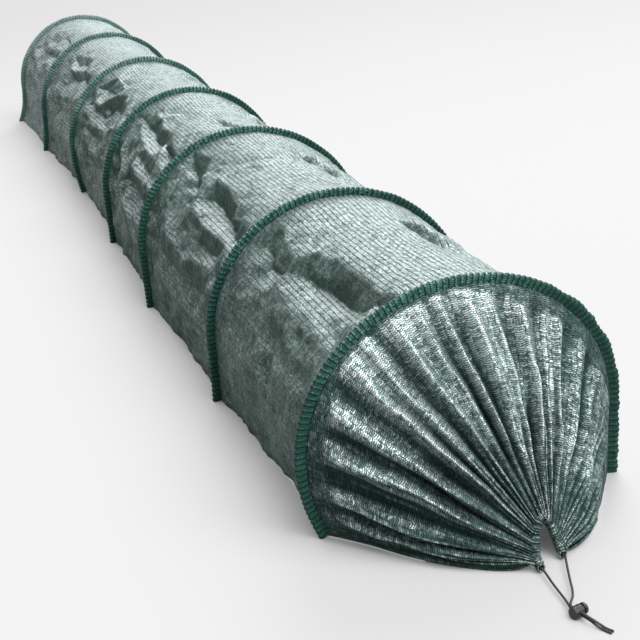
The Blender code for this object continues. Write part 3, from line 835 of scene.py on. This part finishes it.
# Each bay's creases, as lines of points: thousandths of the girth and of the length,
# and drop below the straight threads, in the bay's own unit.
bayCreases = (
    (
        ((362, 665, -5), (380, 655, -3), (398, 620, -2), (410, 500, -2), (412, 320, -2),
         (408, 150, -1)),
        ((350, 600, 15), (362, 450, 24), (366, 300, 26), (374, 170, 18)),
        ((335, 660, 2), (305, 620, 1), (288, 450, 1), (280, 280, 1), (295, 100, 0)),
        ((380, 940, -1), (370, 820, -3), (362, 665, -5)),
        ((340, 900, 8), (320, 800, 14), (322, 700, 12)),
        ((292, 920, 0), (272, 820, -1), (285, 700, 0), (335, 660, 2)),
        ((390, 125, 8), (398, 85, 9)),
        ((558, 740, 0), (570, 640, -2), (588, 510, 0)),
        ((570, 730, 2), (582, 660, 19), (594, 580, 19), (606, 500, 3)),
        ((586, 740, -1), (604, 670, -9), (616, 580, -9), (624, 500, -2)),
        ((230, 700, 3), (215, 450, 4), (225, 220, 1)),
        ((190, 300, -2), (215, 120, -3), (235, 60, -1)),
    ),
    (
        ((405, 860, -1), (390, 700, -3), (378, 580, -3), (374, 450, -3), (362, 300, -3),
         (345, 180, -2), (335, 80, 0)),
        ((338, 560, 14), (333, 440, 24), (326, 320, 23), (315, 200, 15), (307, 120, 7)),
        ((374, 760, -2), (350, 700, -3), (318, 620, -3), (292, 560, -2), (285, 440, -2),
         (287, 320, -2), (290, 200, -2), (285, 100, -1)),
        ((358, 900, 11), (336, 800, 18), (302, 700, 11)),
        ((330, 940, 0), (285, 870, -1), (245, 840, -3), (205, 660, -5), (200, 520, -5),
         (215, 380, -4), (228, 240, -3), (235, 100, -1)),
        ((265, 760, 6), (248, 620, 8), (246, 480, 7), (252, 340, 9), (256, 220, 9)),
        ((165, 820, 7), (150, 600, 10), (152, 400, 9), (165, 200, 5)),
        ((548, 790, 0), (564, 650, -3), (582, 520, -3), (602, 380, 0)),
        ((560, 780, 2), (580, 660, 17), (598, 540, 17), (614, 400, 2)),
        ((578, 780, 0), (602, 670, -5), (620, 560, -5), (630, 420, 0)),
        ((500, 800, 0), (470, 710, -3), (440, 620, 0)),
        ((520, 600, 0), (480, 550, -3), (440, 500, 0)),
        ((455, 950, 1), (462, 900, 5), (470, 860, 0)),
        ((110, 800, -3), (95, 550, -2), (110, 300, -3)),
    ),
    (
        ((408, 880, -1), (396, 740, -3), (385, 600, -3), (377, 450, -3), (368, 300, -3),
         (358, 120, -1)),
        ((362, 800, 8), (352, 660, 16), (346, 540, 20), (343, 450, 15)),
        ((376, 420, -3), (352, 370, 4), (325, 380, -1)),
        ((346, 300, 18), (337, 160, 13)),
        ((335, 800, -1), (322, 640, -3), (312, 460, -3), (310, 300, -3), (305, 140, -1)),
        ((288, 740, 4), (282, 500, 6), (276, 280, 4)),
        ((290, 920, -1), (255, 840, -5), (215, 760, -7), (188, 690, -5)),
        ((262, 660, -3), (250, 460, -4), (252, 260, -4), (255, 100, -1)),
        ((222, 640, 12), (205, 460, 18), (212, 280, 14), (220, 140, 8)),
        ((230, 380, 6), (245, 330, -2), (205, 300, 14)),
        ((165, 660, -3), (150, 450, -4), (160, 250, -3), (175, 100, 0)),
        ((240, 940, 8), (205, 870, 12), (165, 800, 8)),
        ((500, 460, 0), (512, 320, -2), (535, 200, -1)),
        ((500, 400, 1), (504, 280, 8), (528, 160, 6), (555, 90, 0)),
        ((590, 950, 0), (610, 800, 10), (630, 640, 7), (640, 500, 0)),
        ((575, 930, -2), (592, 780, -3), (612, 620, -2)),
        ((410, 800, 0), (400, 730, -5), (385, 700, 2)),
    ),
    (
        ((345, 950, -1), (405, 850, -4), (410, 700, -2), (397, 550, -3), (377, 400, -3),
         (357, 250, -2), (345, 100, -1)),
        ((358, 860, 8), (364, 700, 11), (372, 600, 7)),
        ((300, 940, -1), (308, 820, -4), (308, 730, -4), (338, 630, -6), (366, 560, -4)),
        ((325, 560, 15), (332, 440, 18), (320, 300, 13)),
        ((300, 840, 8), (290, 720, 14), (286, 580, 15), (300, 500, 10)),
        ((285, 920, -1), (262, 830, -3), (248, 660, -3), (258, 500, -3), (270, 360, -3),
         (285, 220, -2), (300, 100, 0)),
        ((228, 800, 3), (222, 600, 5), (228, 400, 4), (240, 200, 2)),
        ((205, 900, 0), (190, 720, -4), (182, 500, -4), (190, 300, -3), (205, 120, 0)),
        ((145, 760, 7), (132, 500, 9), (145, 260, 6)),
        ((405, 830, 2), (412, 720, 5), (414, 600, 0)),
        ((490, 955, 1), (515, 930, 6), (532, 900, 1)),
        ((600, 800, 0), (625, 600, 8), (640, 400, 0)),
    ),
    (
        ((378, 940, -2), (392, 780, -5), (405, 620, -4), (400, 500, -3), (385, 360, -3),
         (372, 200, -2), (362, 80, 0)),
        ((366, 800, 6), (376, 620, 12), (366, 500, 10)),
        ((322, 880, -1), (330, 720, -4), (345, 560, -4), (360, 420, -4), (364, 280, -2)),
        ((312, 640, 17), (322, 480, 20), (330, 340, 15), (335, 200, 8)),
        ((318, 900, -2), (285, 820, -4), (225, 730, -7), (240, 550, -5), (262, 360, -4),
         (275, 180, -1)),
        ((272, 660, 4), (288, 460, 5)),
        ((282, 940, 7), (238, 880, 11), (195, 820, 5)),
        ((185, 640, 12), (205, 420, 11), (185, 220, 7)),
        ((130, 750, -2), (120, 500, -3), (135, 250, -2)),
        ((560, 800, 0), (585, 600, 8), (600, 400, 0)),
    ),
    (
        ((385, 930, -2), (420, 760, -4), (425, 560, -3), (410, 400, -3), (392, 200, -1)),
        ((408, 500, 6), (398, 330, 11)),
        ((362, 780, 5), (372, 580, 7)),
        ((350, 880, -1), (335, 700, -4), (335, 550, -5), (352, 380, -4), (362, 240, -1)),
        ((318, 840, 13), (308, 620, 17), (315, 420, 14), (330, 220, 8)),
        ((292, 920, -2), (262, 740, -6), (228, 520, -5), (215, 300, -2)),
        ((256, 900, 5), (234, 700, 9), (205, 480, 8)),
        ((240, 930, -2), (208, 760, -5), (182, 540, -4), (180, 300, -1)),
        ((160, 780, 9), (145, 480, 9)),
        ((590, 800, 0), (610, 550, 8), (620, 300, 0)),
    ),
)


def creaseNet(bay, length):
    # Corners of the crumpled facets as (girth, length, drop), and the edges that the
    # creases keep.
    random = np.random.default_rng(300 + bay)
    net, edges = [], []
    for crease in bayCreases[bay]:
        line = np.array(crease) / (1000, 1000, 1) * (row["girth"], length, bays["dropUnit"][bay])
        # A crooked corner halfway along each stretch
        halfway = (line[:-1] + line[1:]) / 2
        halfway = halfway + random.normal(0, 1, (len(line) - 1, 3)) * bays["crooked"]
        corners = [line[0]]
        for corner, point in zip(halfway, line[1:]):
            corners += [corner, point]
        first = len(net)
        net += [tuple(corner) for corner in corners]
        edges += [(k, k + 1) for k in range(first, len(net) - 1)]
    scatterCorners(net, random, bay, length, *bays["facets"])
    return net, edges


def scatterCorners(net, random, bay, length, apart, heights, tries, rimCount):
    # More corners at random, clear of those there, and the rim's where the cloth is sewn.
    girth, gap = row["girth"], bays["seamGap"]
    most, loss = bays["spacings"]
    for _ in range(tries):
        a, b = random.uniform(0, girth), random.uniform(gap, length - gap)
        shoulder = 0.0
        for place, spread, weight in bays["shoulders"]:
            shoulder += weight * math.exp(-(((a / girth - place) / spread) ** 2))
        clear = apart * (most - loss * min(1, shoulder))
        if all(math.hypot(a - p, b - q) > clear for p, q, _ in net):
            net.append((a, b, random.uniform(-1, 1) * heights[bay] * (shoulder + bays["level"])))
    for k in range(rimCount + 1):
        for b in (0.0, length):
            net.append((girth * k / rimCount, b, 0.0))
        if 0 < k < rimCount:
            for a in (0.0, girth):
                net.append((a, length * k / rimCount, 0.0))


def bayDrop(bay, around, along, length):
    # How far in the cloth lies from the straight threads between its two hoops.
    girthPlace, lengthPlace = around / row["girth"], along / length
    seed = 10 * bay + 3

    def hills(layer, number):
        height, size, stretch = layer
        return height * softNoise(around, along, size, seed + number, stretch)

    crown = np.sin(math.pi * girthPlace)
    drop = bays["sag"] * np.sin(math.pi * lengthPlace) * fromLeast(bays["sagAtFootShare"], crown)
    fade = smoothShare(np.minimum(lengthPlace, 1 - lengthPlace), 0.0, bays["fade"])
    foot = smoothShare(np.minimum(girthPlace, 1 - girthPlace), 0.0, bays["footFade"])
    slope = smoothShare(np.abs(girthPlace - 0.5), *bays["slope"])
    net, edges = creaseNet(bay, length)
    drop += flatFacets(around, along, net, edges) * foot
    fineNet = []
    scatterCorners(fineNet, np.random.default_rng(500 + bay), bay, length, *bays["fineFacets"])
    drop += flatFacets(around, along, fineNet, []) * foot
    drop += fade * hills(bays["swell"], 0)
    drop += fade * hills(bays["ripple"], 1) * fromLeast(bays["rippleAtCrown"], slope)
    height, size, stretch = bays["crumple"]
    crumple = np.abs(hills((1, size, stretch), 2)) + np.abs(hills(bays["fineCrumple"], 3))
    drop += fade * height * crumple * fromLeast(bays["crumpleAtCrown"], slope)
    height, size = bays["pucker"]
    share, wideSize = bays["widePucker"]
    for fromEdge, turn in ((along, 4), (length - along, 5)):
        near = height * np.exp(-fromEdge / bays["puckerReach"])
        near = near * smoothShare(fromEdge, 0.0, bays["puckerStart"])
        drop += near * softNoise(around, along * 0, size, seed + turn)
        drop += share * near * softNoise(around, along * 0, wideSize, seed + turn + 2)
    return drop


def bayLight(bay, around, along, drop, grid, threads):
    # The light, shade and shine painted on the cloth, from 0 to 1.
    towardLight, plain = [gridNormals(points) @ np.array(bays["towardLight"]) for points in (grid, threads)]
    soft = softened(drop, bays["ridgeSoftenings"])
    ridge = np.clip((soft - drop) / bays["ridgeUnit"], -1, 1)
    light = bays["lightBase"]
    for share, start, end in bays["lightByFacing"]:
        light = light + share * smoothShare(towardLight, start, end)
    light += bays["relief"][bay] * (towardLight - plain) + bays["ridges"][bay] * ridge + bays["paintedPaleness"][bay]
    for height, size, seed, stretch in bays["patches"]:
        light += height * softNoise(around, along, size, seed + bay, stretch)
    return np.clip(light, bays["lightLeast"], 1)


def addBay(bay):
    steps, rows = bays["girthSteps"], bays["lengthSteps"]
    shares = np.linspace(0, 1, steps + 1)
    near, nearOut = hoopLine(bay, bays["inset"], shares)
    far, farOut = hoopLine(bay + 1, bays["inset"], shares)
    start = stand(bay, near[:, 0], bays["edge"], near[:, 1])[:, None]
    end = stand(bay + 1, far[:, 0], -bays["edge"], far[:, 1])[:, None]
    place = np.linspace(0, 1, rows + 1)[None, :, None]
    nearY, farY = row["places"][bay : bay + 2]
    length = farY - nearY
    out = nearOut[:, None] * (1 - place) + farOut[:, None] * place
    out = np.stack([out[..., 0], out[..., 0] * 0, out[..., 1]], -1)
    around = np.repeat(shares[:, None] * row["girth"], rows + 1, 1)
    along = np.repeat(place[..., 0] * length, steps + 1, 0)
    drop = bayDrop(bay, around, along, length)
    threads = start * (1 - place) + end * place
    grid = threads - out * drop[..., None]
    grid[..., 2] = np.maximum(grid[..., 2], 0.0)
    uv = np.stack([around, along + nearY], -1)
    paintedLight = bayLight(bay, around, along, drop, grid, threads)
    piece = addGrid(f"coverCloth{bay + 1}", grid, uv, shadeCloth, paintedLight=paintedLight)
    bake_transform(piece)
    # The hoops lean and turn unalike, so each thread keeps its own share of the girth
    # from one hoop to the next.
    thicken(piece, bays["cloth"])
    settle(piece, f"cover_bay_{bay + 1}")


for bay in range(hoopCount - 1):
    addBay(bay)
print("cover made")


# Gathered ends

ends = {
    "cloth": 0.0014,
    "casing": 0.0065,  # radius
    "lift": 0.0007,
    "lead": 0.004,
    "reach": 0.176,
    "depth": 0.024,
    "rise": 0.048,
    "halfWidth": 0.0195,
    "skew": 0.0073,
    "roundness": 0.08,  # how far the casing's arch swells at its sides, as a share of its half width
    "archPower": 1.75,  # under 2 the arch is rounder at its top than the solid's
    "nearShift": 0.0335,
    "farShift": 0.006,
    "columns": 420,
    "rows": 84,
    "wrapRows": 10,
    "wrapDeg": (50, 175),  # where the cloth meets the casing, and where it ends round it
    "wrapInset": 0.0004,
    "bulge": 0.007,
    "footBulge": 0.014,
    "footBulgeGirth": 0.2,
    "footBulgeLean": 1.8,
    # The plain band beside the hoop's seam, as shares of its width
    "bandFade": (0.65, 1.2),
    "late": (0.55, 1.0),
    "early": (-0.12, 0.25),
    # Folds: height at mid cloth and at the casing, and what is left in the band, round
    # the casing and at the feet
    "mainFold": 0.0140,
    "mainFoldAtCasing": 0.0024,
    "foldInBand": 0.9,
    "foldRoundCasing": 0.45,
    "footFold": (0.35, 0.10),
    "ridgePower": 1.5,
    "fineFold": 0.0030,
    "fineCount": 47,
    "fineFrom": (0.15, 0.7),
    "fineLate": 0.45,
    "fineFootFade": 0.02,
    "fineSlip": (1.5, 9),  # turn and rate round the girth
    # Noises: height, size, seed and stretch
    "drifts": ((0.013, 0.085, 0, 1.0), (0.004, 0.040, 3, 1.0)),
    "foldSwell": (0.85, (0.5, 0.045, 4, 1.5)),
    "fineSlips": (2.6, 0.055, 7, 2.0),
    "fineSwell": (0.60, (0.55, 0.03, 5, 2.0)),
    "crumples": ((0.0016, 0.016, 1, 3.5), (0.0009, 0.009, 2, 2.5)),
}

# Light and shade painted on the gathered ends: ranges over which a share rises, and shares
endLight = {
    # Painted light where the cloth faces up, and painted highlights on the fold crests
    "upward": (0.0, 0.7),
    "open": (0.12, 0.62),
    "litCrestUpward": 0.30,
    "patches": (1.0, 0.014, 6, 2.0),
    "patchRange": (-0.2, 0.9),
    "fall": (1.75, 1.8),  # painted light at the hoop, and its loss toward the casing, where it is painted darker
    "patchFall": (0.30, 0.75),
    "least": (0.01, 0.14),
    "ridges": (0.38, 0.90),
    # Painted shade toward the feet
    "foot": (0.35, 0.03),
    "dimShares": (0.56, 0.72),  # of the girth, from which the right side gets painted shade
    "dimAlong": (0.25, 0.6),
    "dim": (0.55, 0.8),
    # Painted light and shade along the fine folds, and painted glints on them
    "pleats": (0.28, 0.42),
    "glint": (0.20, 0.1),
    "glintAlong": (0.10, 0.5),
    # Less painted light in the plain band beside the seam
    "band": (0.88, 0.05),
}

casings = {
    "points": 241,
    "spacing": 0.0005,
    "sides": 28,
    "cloth": 0.0012,
    "inside": 0.0055,  # radius under the cloth that wraps it
    "radii": (1.1, 0.26),
    "ruffle": (0.0046, 1.3, 90),
    "fineRuffle": (0.25, 0.0019),
    "pinch": (0.85, 0.15, 150),
    "uvScale": (6, 0.041),
    "light": (0.40, 0.34, 0.0023),
}

# The plain band beside the end hoop's seam: shares of the girth, and its widths
seamBand = (
    (0.0, 0.12, 0.22, 0.30, 0.50, 0.58, 0.70, 1.0),
    (0.042, 0.030, 0.026, 0.006, 0.006, 0.022, 0.030, 0.034),
)

# Turns of the near end's folds round the girth: place, and height from -1 in a valley
# to 1 on a crest.
nearFolds = (
    (0.0, 0.2), (0.022, -0.3), (0.050, 0.9), (0.068, -0.5), (0.092, 0.8), (0.128, -1.0),
    (0.172, 1.0), (0.200, -0.6), (0.232, 0.9), (0.265, -1.0), (0.300, 1.0), (0.320, -0.1),
    (0.334, 0.8), (0.360, -1.0), (0.388, 0.9), (0.408, -0.2), (0.426, 0.6), (0.445, -0.8),
    (0.463, 0.6), (0.477, -1.0), (0.506, 0.9), (0.528, 0.1), (0.540, 0.5), (0.562, -1.0),
    (0.588, 1.0), (0.622, -0.9), (0.640, 0.2), (0.650, 0.0), (0.663, 1.0), (0.690, -1.0),
    (0.732, 0.5), (0.755, -1.0), (0.785, 0.9), (0.828, 1.0), (0.862, -0.4), (0.892, 0.6),
    (0.925, -0.5), (0.955, 0.4), (0.980, -0.2), (1.0, 0.0),
)
farFolds = tuple(
    (k / 38, (1 if k % 2 else -1) * (0.7 + 0.3 * math.sin(k * k)) if 0 < k < 38 else 0.0)
    for k in range(39)
)


def endPoint(side, shift, x, y, z):
    hoop = row["places"][0] if side < 0 else row["places"][-1]
    return np.stack([-side * (x + shift), hoop - side * y, z], -1)


def casingPoint(side, shift, place):
    angle = math.pi * place
    x = -ends["halfWidth"] * (np.cos(angle) + ends["roundness"] * np.sin(2 * angle))
    y = -ends["reach"] + ends["depth"] * np.sin(angle) - ends["skew"] * np.cos(angle)
    z = ends["casing"] + ends["lift"] + ends["rise"] * np.abs(np.sin(angle)) ** ends["archPower"]
    return endPoint(side, shift, x, y, z)


def foldWave(shares, turns):
    places, heights = np.array(turns).T
    index = np.clip(np.searchsorted(places, shares) - 1, 0, len(places) - 2)
    t = np.clip((shares - places[index]) / (places[index + 1] - places[index]), 0, 1)
    ease = (1 - np.cos(math.pi * t)) / 2
    return heights[index] * (1 - ease) + heights[index + 1] * ease


def skirtThreads(side, shift, shares):
    # The straight threads from the end hoop's seam to the casing, and the rows that
    # wrap round it, as points, outward directions and length along each thread.
    hoop = 0 if side < 0 else hoopCount - 1
    ring, _ = hoopLine(hoop, bays["inset"], shares)
    if side > 0:
        ring = ring[::-1]
    start = stand(hoop, ring[:, 0], side * bays["edge"], ring[:, 1])
    centre = casingPoint(side, shift, shares)
    way = unit(np.gradient(centre, axis=0))
    toward = start - centre
    toward = unit(toward - way * (toward * way).sum(1)[:, None])
    over = np.cross(way, toward)
    over *= np.sign(over[len(over) // 2, 2])
    met, last = np.radians(ends["wrapDeg"])
    radius = ends["casing"] - ends["wrapInset"]
    turns = np.linspace(met, last, ends["wrapRows"] + 1)
    cosine, sine = np.cos(turns)[None, :, None], np.sin(turns)[None, :, None]
    radial = toward[:, None] * cosine + over[:, None] * sine
    wrap = centre[:, None] + radial * radius
    place = np.linspace(0, 1, ends["rows"] + 1)
    base = start[:, None] * (1 - place[None, :, None]) + wrap[:, :1] * place[None, :, None]
    span = np.linalg.norm(wrap[:, 0] - start, axis=1)[:, None]
    run = np.concatenate([span * place, span + (turns[None, 1:] - met) * radius], 1)
    along = np.concatenate([place, np.ones(ends["wrapRows"])])
    lap = np.concatenate([place * 0, np.linspace(0, 1, ends["wrapRows"] + 1)[1:]])
    points = np.concatenate([base, wrap[:, 1:]], 1)
    out = np.concatenate([gridNormals(base), radial[:, 1:]], 1)
    return points, out, run, along[None], lap[None]


def skirtLight(shares, along, out, ridge, fineWave, late, band, hills):
    # The light and shade painted on the gathered cloth, from 0 to 1
    light = endLight
    upward = smoothShare(out[..., 2], *light["upward"])
    crests = smoothShare(ridge + light["litCrestUpward"] * upward * (1 - along), *light["open"])
    patches = smoothShare(hills(*light["patches"]), *light["patchRange"])
    (most, loss), (least, gain) = light["fall"], light["patchFall"]
    fall = np.maximum(most - loss * along, least + gain * patches)
    (base, byTurn), (byRidge, byBoth) = light["least"], light["ridges"]
    paintedLight = base + byTurn * upward + crests * (byRidge + byBoth * upward) * fall
    least, reach = light["foot"]
    paintedLight = paintedLight * fromLeast(least, smoothShare(np.minimum(shares, 1 - shares), 0.0, reach))
    dim, back = light["dim"]
    dimmed = smoothShare(shares, *light["dimShares"])
    paintedLight = paintedLight * (1 - dim * dimmed * (1 - back * smoothShare(along, *light["dimAlong"])))
    pleat = light["pleats"][0] + light["pleats"][1] * late
    glint = light["glint"][0] * (fineWave + light["glint"][1])
    paintedLight = paintedLight * (1 - pleat + pleat * fineWave) + glint * smoothShare(along, *light["glintAlong"])
    dark, plain = light["band"]
    return np.clip(paintedLight, 0, 1) * (1 - dark * band) + plain * band


def addSkirt(name, node, side, shift, turns, bodies, seed):
    shares = np.linspace(0, 1, ends["columns"] + 1)[:, None]
    points, out, run, along, lap = skirtThreads(side, shift, shares[:, 0])
    around = np.repeat(shares * row["girth"], run.shape[1], 1)
    full = np.sin(math.pi * along)
    fromFoot = np.minimum(shares, 1 - shares)

    def hills(height, size, number, stretch):
        return height * softNoise(around, run, size, seed + number, stretch)

    # Folds wander, swell and die away
    drift = sum(hills(*layer) for layer in ends["drifts"])
    spread = np.clip(shares + drift * full, 0, 1)
    least, swell = ends["foldSwell"]
    wave = foldWave(spread, turns) * (least + hills(*swell) * full)
    ridge = ((1 + np.clip(wave, -1, 1)) / 2) ** ends["ridgePower"]
    # Beside the end hoop's seam lies a plain band
    width = np.interp(shares, *seamBand)
    start, end = ends["bandFade"]
    band = 1 - smoothShare(run, width * start, width * end)
    late = smoothShare(along, *ends["late"])
    early = smoothShare(along, *ends["early"]) * (1 - ends["foldInBand"] * band)
    atCasing = ends["mainFoldAtCasing"] * late * (1 - ends["foldRoundCasing"] * lap)
    least, reach = ends["footFold"]
    main = ends["mainFold"] * early * (1 - late) + atCasing
    main = main * fromLeast(least, smoothShare(fromFoot, 0.0, reach))
    turn, rate = ends["fineSlip"]
    slip = turn * np.sin(rate * shares) + hills(*ends["fineSlips"])
    least, swell = ends["fineSwell"]
    fineWave = np.sin(2 * math.pi * ends["fineCount"] * spread + slip) * (least + hills(*swell))
    fine = ends["fineFold"] * smoothShare(along, *ends["fineFrom"])
    fine = fine * (1 - ends["fineLate"] * late) * (1 - band)
    low = np.maximum(0, 1 - fromFoot / ends["footBulgeGirth"])
    lift = ends["bulge"] * full
    lift = lift + ends["footBulge"] * low * np.sin(math.pi * along ** ends["footBulgeLean"])
    lift = lift + main * (2 * ridge - 1)
    lift = lift + fine * fineWave * smoothShare(fromFoot, 0.0, ends["fineFootFade"])
    for layer in ends["crumples"]:
        lift = lift + hills(*layer) * full
    grid = points + out * lift[..., None]
    grid[..., 2] = np.maximum(grid[..., 2], ends["cloth"])
    body = row["places"][0 if side < 0 else -1]
    uv = np.stack([around, run + body], -1)
    paintedLight = skirtLight(shares, along, out, ridge, fineWave, late, band, hills)
    piece = addGrid(name, grid, uv, gatheredCloth, paintedLight=paintedLight)
    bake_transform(piece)
    thicken(piece, ends["cloth"])
    settle(piece, node)
    return piece, float(run[:, -1].mean())


def addCasing(name, node, side, shift, body, seed):
    line = casingPoint(side, shift, np.linspace(0, 1, casings["points"]))
    lead = np.array([0, side * ends["lead"], 0])
    line = evenly(np.concatenate([[line[0] + lead], line, [line[-1] + lead]]), casings["spacing"])

    def radiusAt(place, whole, angles):
        pitch, turn, rate = casings["ruffle"]
        ruffle = 0.5 + 0.5 * math.sin(place / pitch * 2 * math.pi + turn * math.sin(place * rate))
        share, pitch = casings["fineRuffle"]
        ruffle += share * math.sin(place / pitch * 2 * math.pi + seed)
        least, share, rate = casings["pinch"]
        pinch = least + share * np.cos(angles * 2 + place * rate)
        most, loss = casings["radii"]
        return casings["inside"] * (most - loss * ruffle * pinch)

    middle, share, size = casings["light"]
    along = measure(line)
    paintedLight = middle + share * softNoise(along, along * 0, size, 95 + seed)
    piece = addTube(
        name, line, radiusAt, casings["sides"], gatheredCloth,
        capped=False, uvScale=casings["uvScale"], paintedLight=paintedLight,
    )
    thicken(piece, casings["cloth"])
    settle(piece, node, body)
    return piece


for which, side, shift, turns, hoop, seeds in (
    ("near", -1, ends["nearShift"], nearFolds, 1, (71, 5)),
    ("far", 1, ends["farShift"], farFolds, 7, (81, 6)),
):
    bodies = (f"station_{hoop}", f"{which}_mouth")
    names = (f"{which}EndCloth", f"{which}_end_skirt")
    skirt, run = addSkirt(*names, side, shift, turns, bodies, seeds[0])
    names = (f"{which}EndCasing", f"{which}_casing")
    casing = addCasing(*names, side, shift, bodies[1], seeds[1])
print("gathered ends made")


# The lock's spring, which shortens as the button goes in. Places along it count from
# the cords' hole.

spring = {
    "hole": (0.0076, -1.7836, 0.0075),
    "turnDeg": 15.0,
    "seat": -0.00725,  # against the barrel's closed end
    "stem": -0.00415,
    "radius": 0.0036,
    "wire": 0.0005,
    "turns": 3.25,
    "steps": 78,
    "sides": 8,
}


def springPoint(x, y, z):
    turn = math.radians(spring["turnDeg"])
    hole = spring["hole"]
    forward = hole[1] + x * math.sin(turn) + y * math.cos(turn)
    return np.stack([hole[0] + x * math.cos(turn) - y * math.sin(turn), forward, hole[2] + z], -1)


def addSpring():
    angles = np.linspace(0, 2 * math.pi * spring["turns"], spring["steps"] + 1)
    places = np.linspace(spring["seat"], spring["stem"], spring["steps"] + 1)
    line = springPoint(places, spring["radius"] * np.cos(angles), spring["radius"] * np.sin(angles))

    def radiusAt(place, whole, angles):
        return np.full(len(angles), spring["wire"] / 2)

    piece = addTube("lockSpring", line, radiusAt, spring["sides"], springSteel)
    settle(piece, "lock_spring")
    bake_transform(piece)


addSpring()
print("spring made")


# CAD nodes that stay get their finishes

for node, material in (
    ("lock_barrel", lockPlastic),
    ("lock_button", lockPlastic),
    ("drawstring_in_casing", cordCloth),
):
    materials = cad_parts[node].data.materials
    materials.clear()
    materials.append(material)


# Floor and light

studio = {
    "floorSize": 60.0,
    "floorTones": ((0.36, 0.36, 0.36), (0.3492, 0.3492, 0.3492)),
    "floorShade": (0.8, 2.0),
    "floorRough": 0.75,
    "floorShine": 0.2,
    "floorGlow": 0.36,  # share of the floor that the camera and reflections see unshaded
    "glowTones": ((1.44, 1.44, 1.44), (0.97, 0.97, 0.97)),  # near and far
    "glowRange": (-1.0, 5.0),  # along the row
    "shadeSamples": 8,
    "shadeReach": 0.30,  # how far off a piece may stand and still dim the floor's glow
    "shadeShares": (0.12, 0.78),  # of open sky over a spot, for no glow and for all of it
    "worldTone": (0.90, 0.90, 0.90),
    "worldLight": 0.22,
    # Lamps far off: turn from straight behind the row to the right, rise, spread, strength
    "lamps": (("backSun", 28.0, 38.0, 36.0, 2.6), ("frontSun", 140.0, 56.0, 50.0, 3.4)),
}


def seenShare(tree):
    # 1 where the camera, a reflection or a transmitted ray looks, else 0
    outlets = tree.nodes.new("ShaderNodeLightPath").outputs
    kinds = ("Camera", "Glossy", "Transmission")
    camera, glossy, through = [Value(outlets[f"Is {kind} Ray"]) for kind in kinds]
    return camera.math("MAXIMUM", glossy).math("MAXIMUM", through)


def addFloor():
    for item in bpy.context.selected_objects:
        item.select_set(False)
    bpy.ops.mesh.primitive_plane_add(size=studio["floorSize"], location=(0, 0, 0))
    floor = bpy.context.object
    floor.name = "floor"
    finish = Finish("paleFloor")
    place = finish.place()
    finish.dress(
        Base_Color=finish.mix(finish.noise(place, *studio["floorShade"]), *studio["floorTones"]),
        Roughness=studio["floorRough"],
        Specular_IOR_Level=studio["floorShine"],
    )
    away = finish.step(finish.split(place)[1], *studio["glowRange"])
    tone = finish.mix(away, *studio["glowTones"])
    reach = {"Distance": studio["shadeReach"]}
    sky = finish.add("AmbientOcclusion", reach, outlet=1, samples=studio["shadeSamples"])
    clear = finish.step(sky, *studio["shadeShares"])
    glow = finish.add("Emission", {"Color": tone, "Strength": 1.0})
    blend = finish.add("MixShader", {0: seenShare(finish.tree) * clear * studio["floorGlow"]})
    links = finish.tree.links
    links.new(finish.shader.outputs[0], blend.socket.node.inputs[1])
    links.new(glow.socket, blend.socket.node.inputs[2])
    links.new(blend.socket, finish.tree.nodes["Material Output"].inputs[0])
    floor.data.materials.append(finish.material)


def addWorld():
    world = bpy.data.worlds.new("studio")
    bpy.context.scene.world = world
    world.use_nodes = True
    tree = world.node_tree
    ground = tree.nodes["Background"]
    ground.inputs["Color"].default_value = (*studio["worldTone"], 1)
    least = studio["worldLight"]
    strength = least + seenShare(tree) * (1 - least)
    tree.links.new(strength.socket, ground.inputs["Strength"])


def addLamp(name, turnDeg, riseDeg, spreadDeg, strength):
    lamp = bpy.data.lights.new(name, "SUN")
    lamp.energy = strength
    lamp.angle = math.radians(spreadDeg)
    item = bpy.data.objects.new(name, lamp)
    toLamp = heading(math.radians(turnDeg), math.radians(riseDeg))
    item.rotation_euler = (-toLamp).to_track_quat("-Z", "Y").to_euler()
    bpy.context.scene.collection.objects.link(item)


addFloor()
addWorld()
for lamp in studio["lamps"]:
    addLamp(*lamp)
bpy.context.scene.view_settings.view_transform = "Standard"
print("studio made")

bpy.context.view_layer.update()
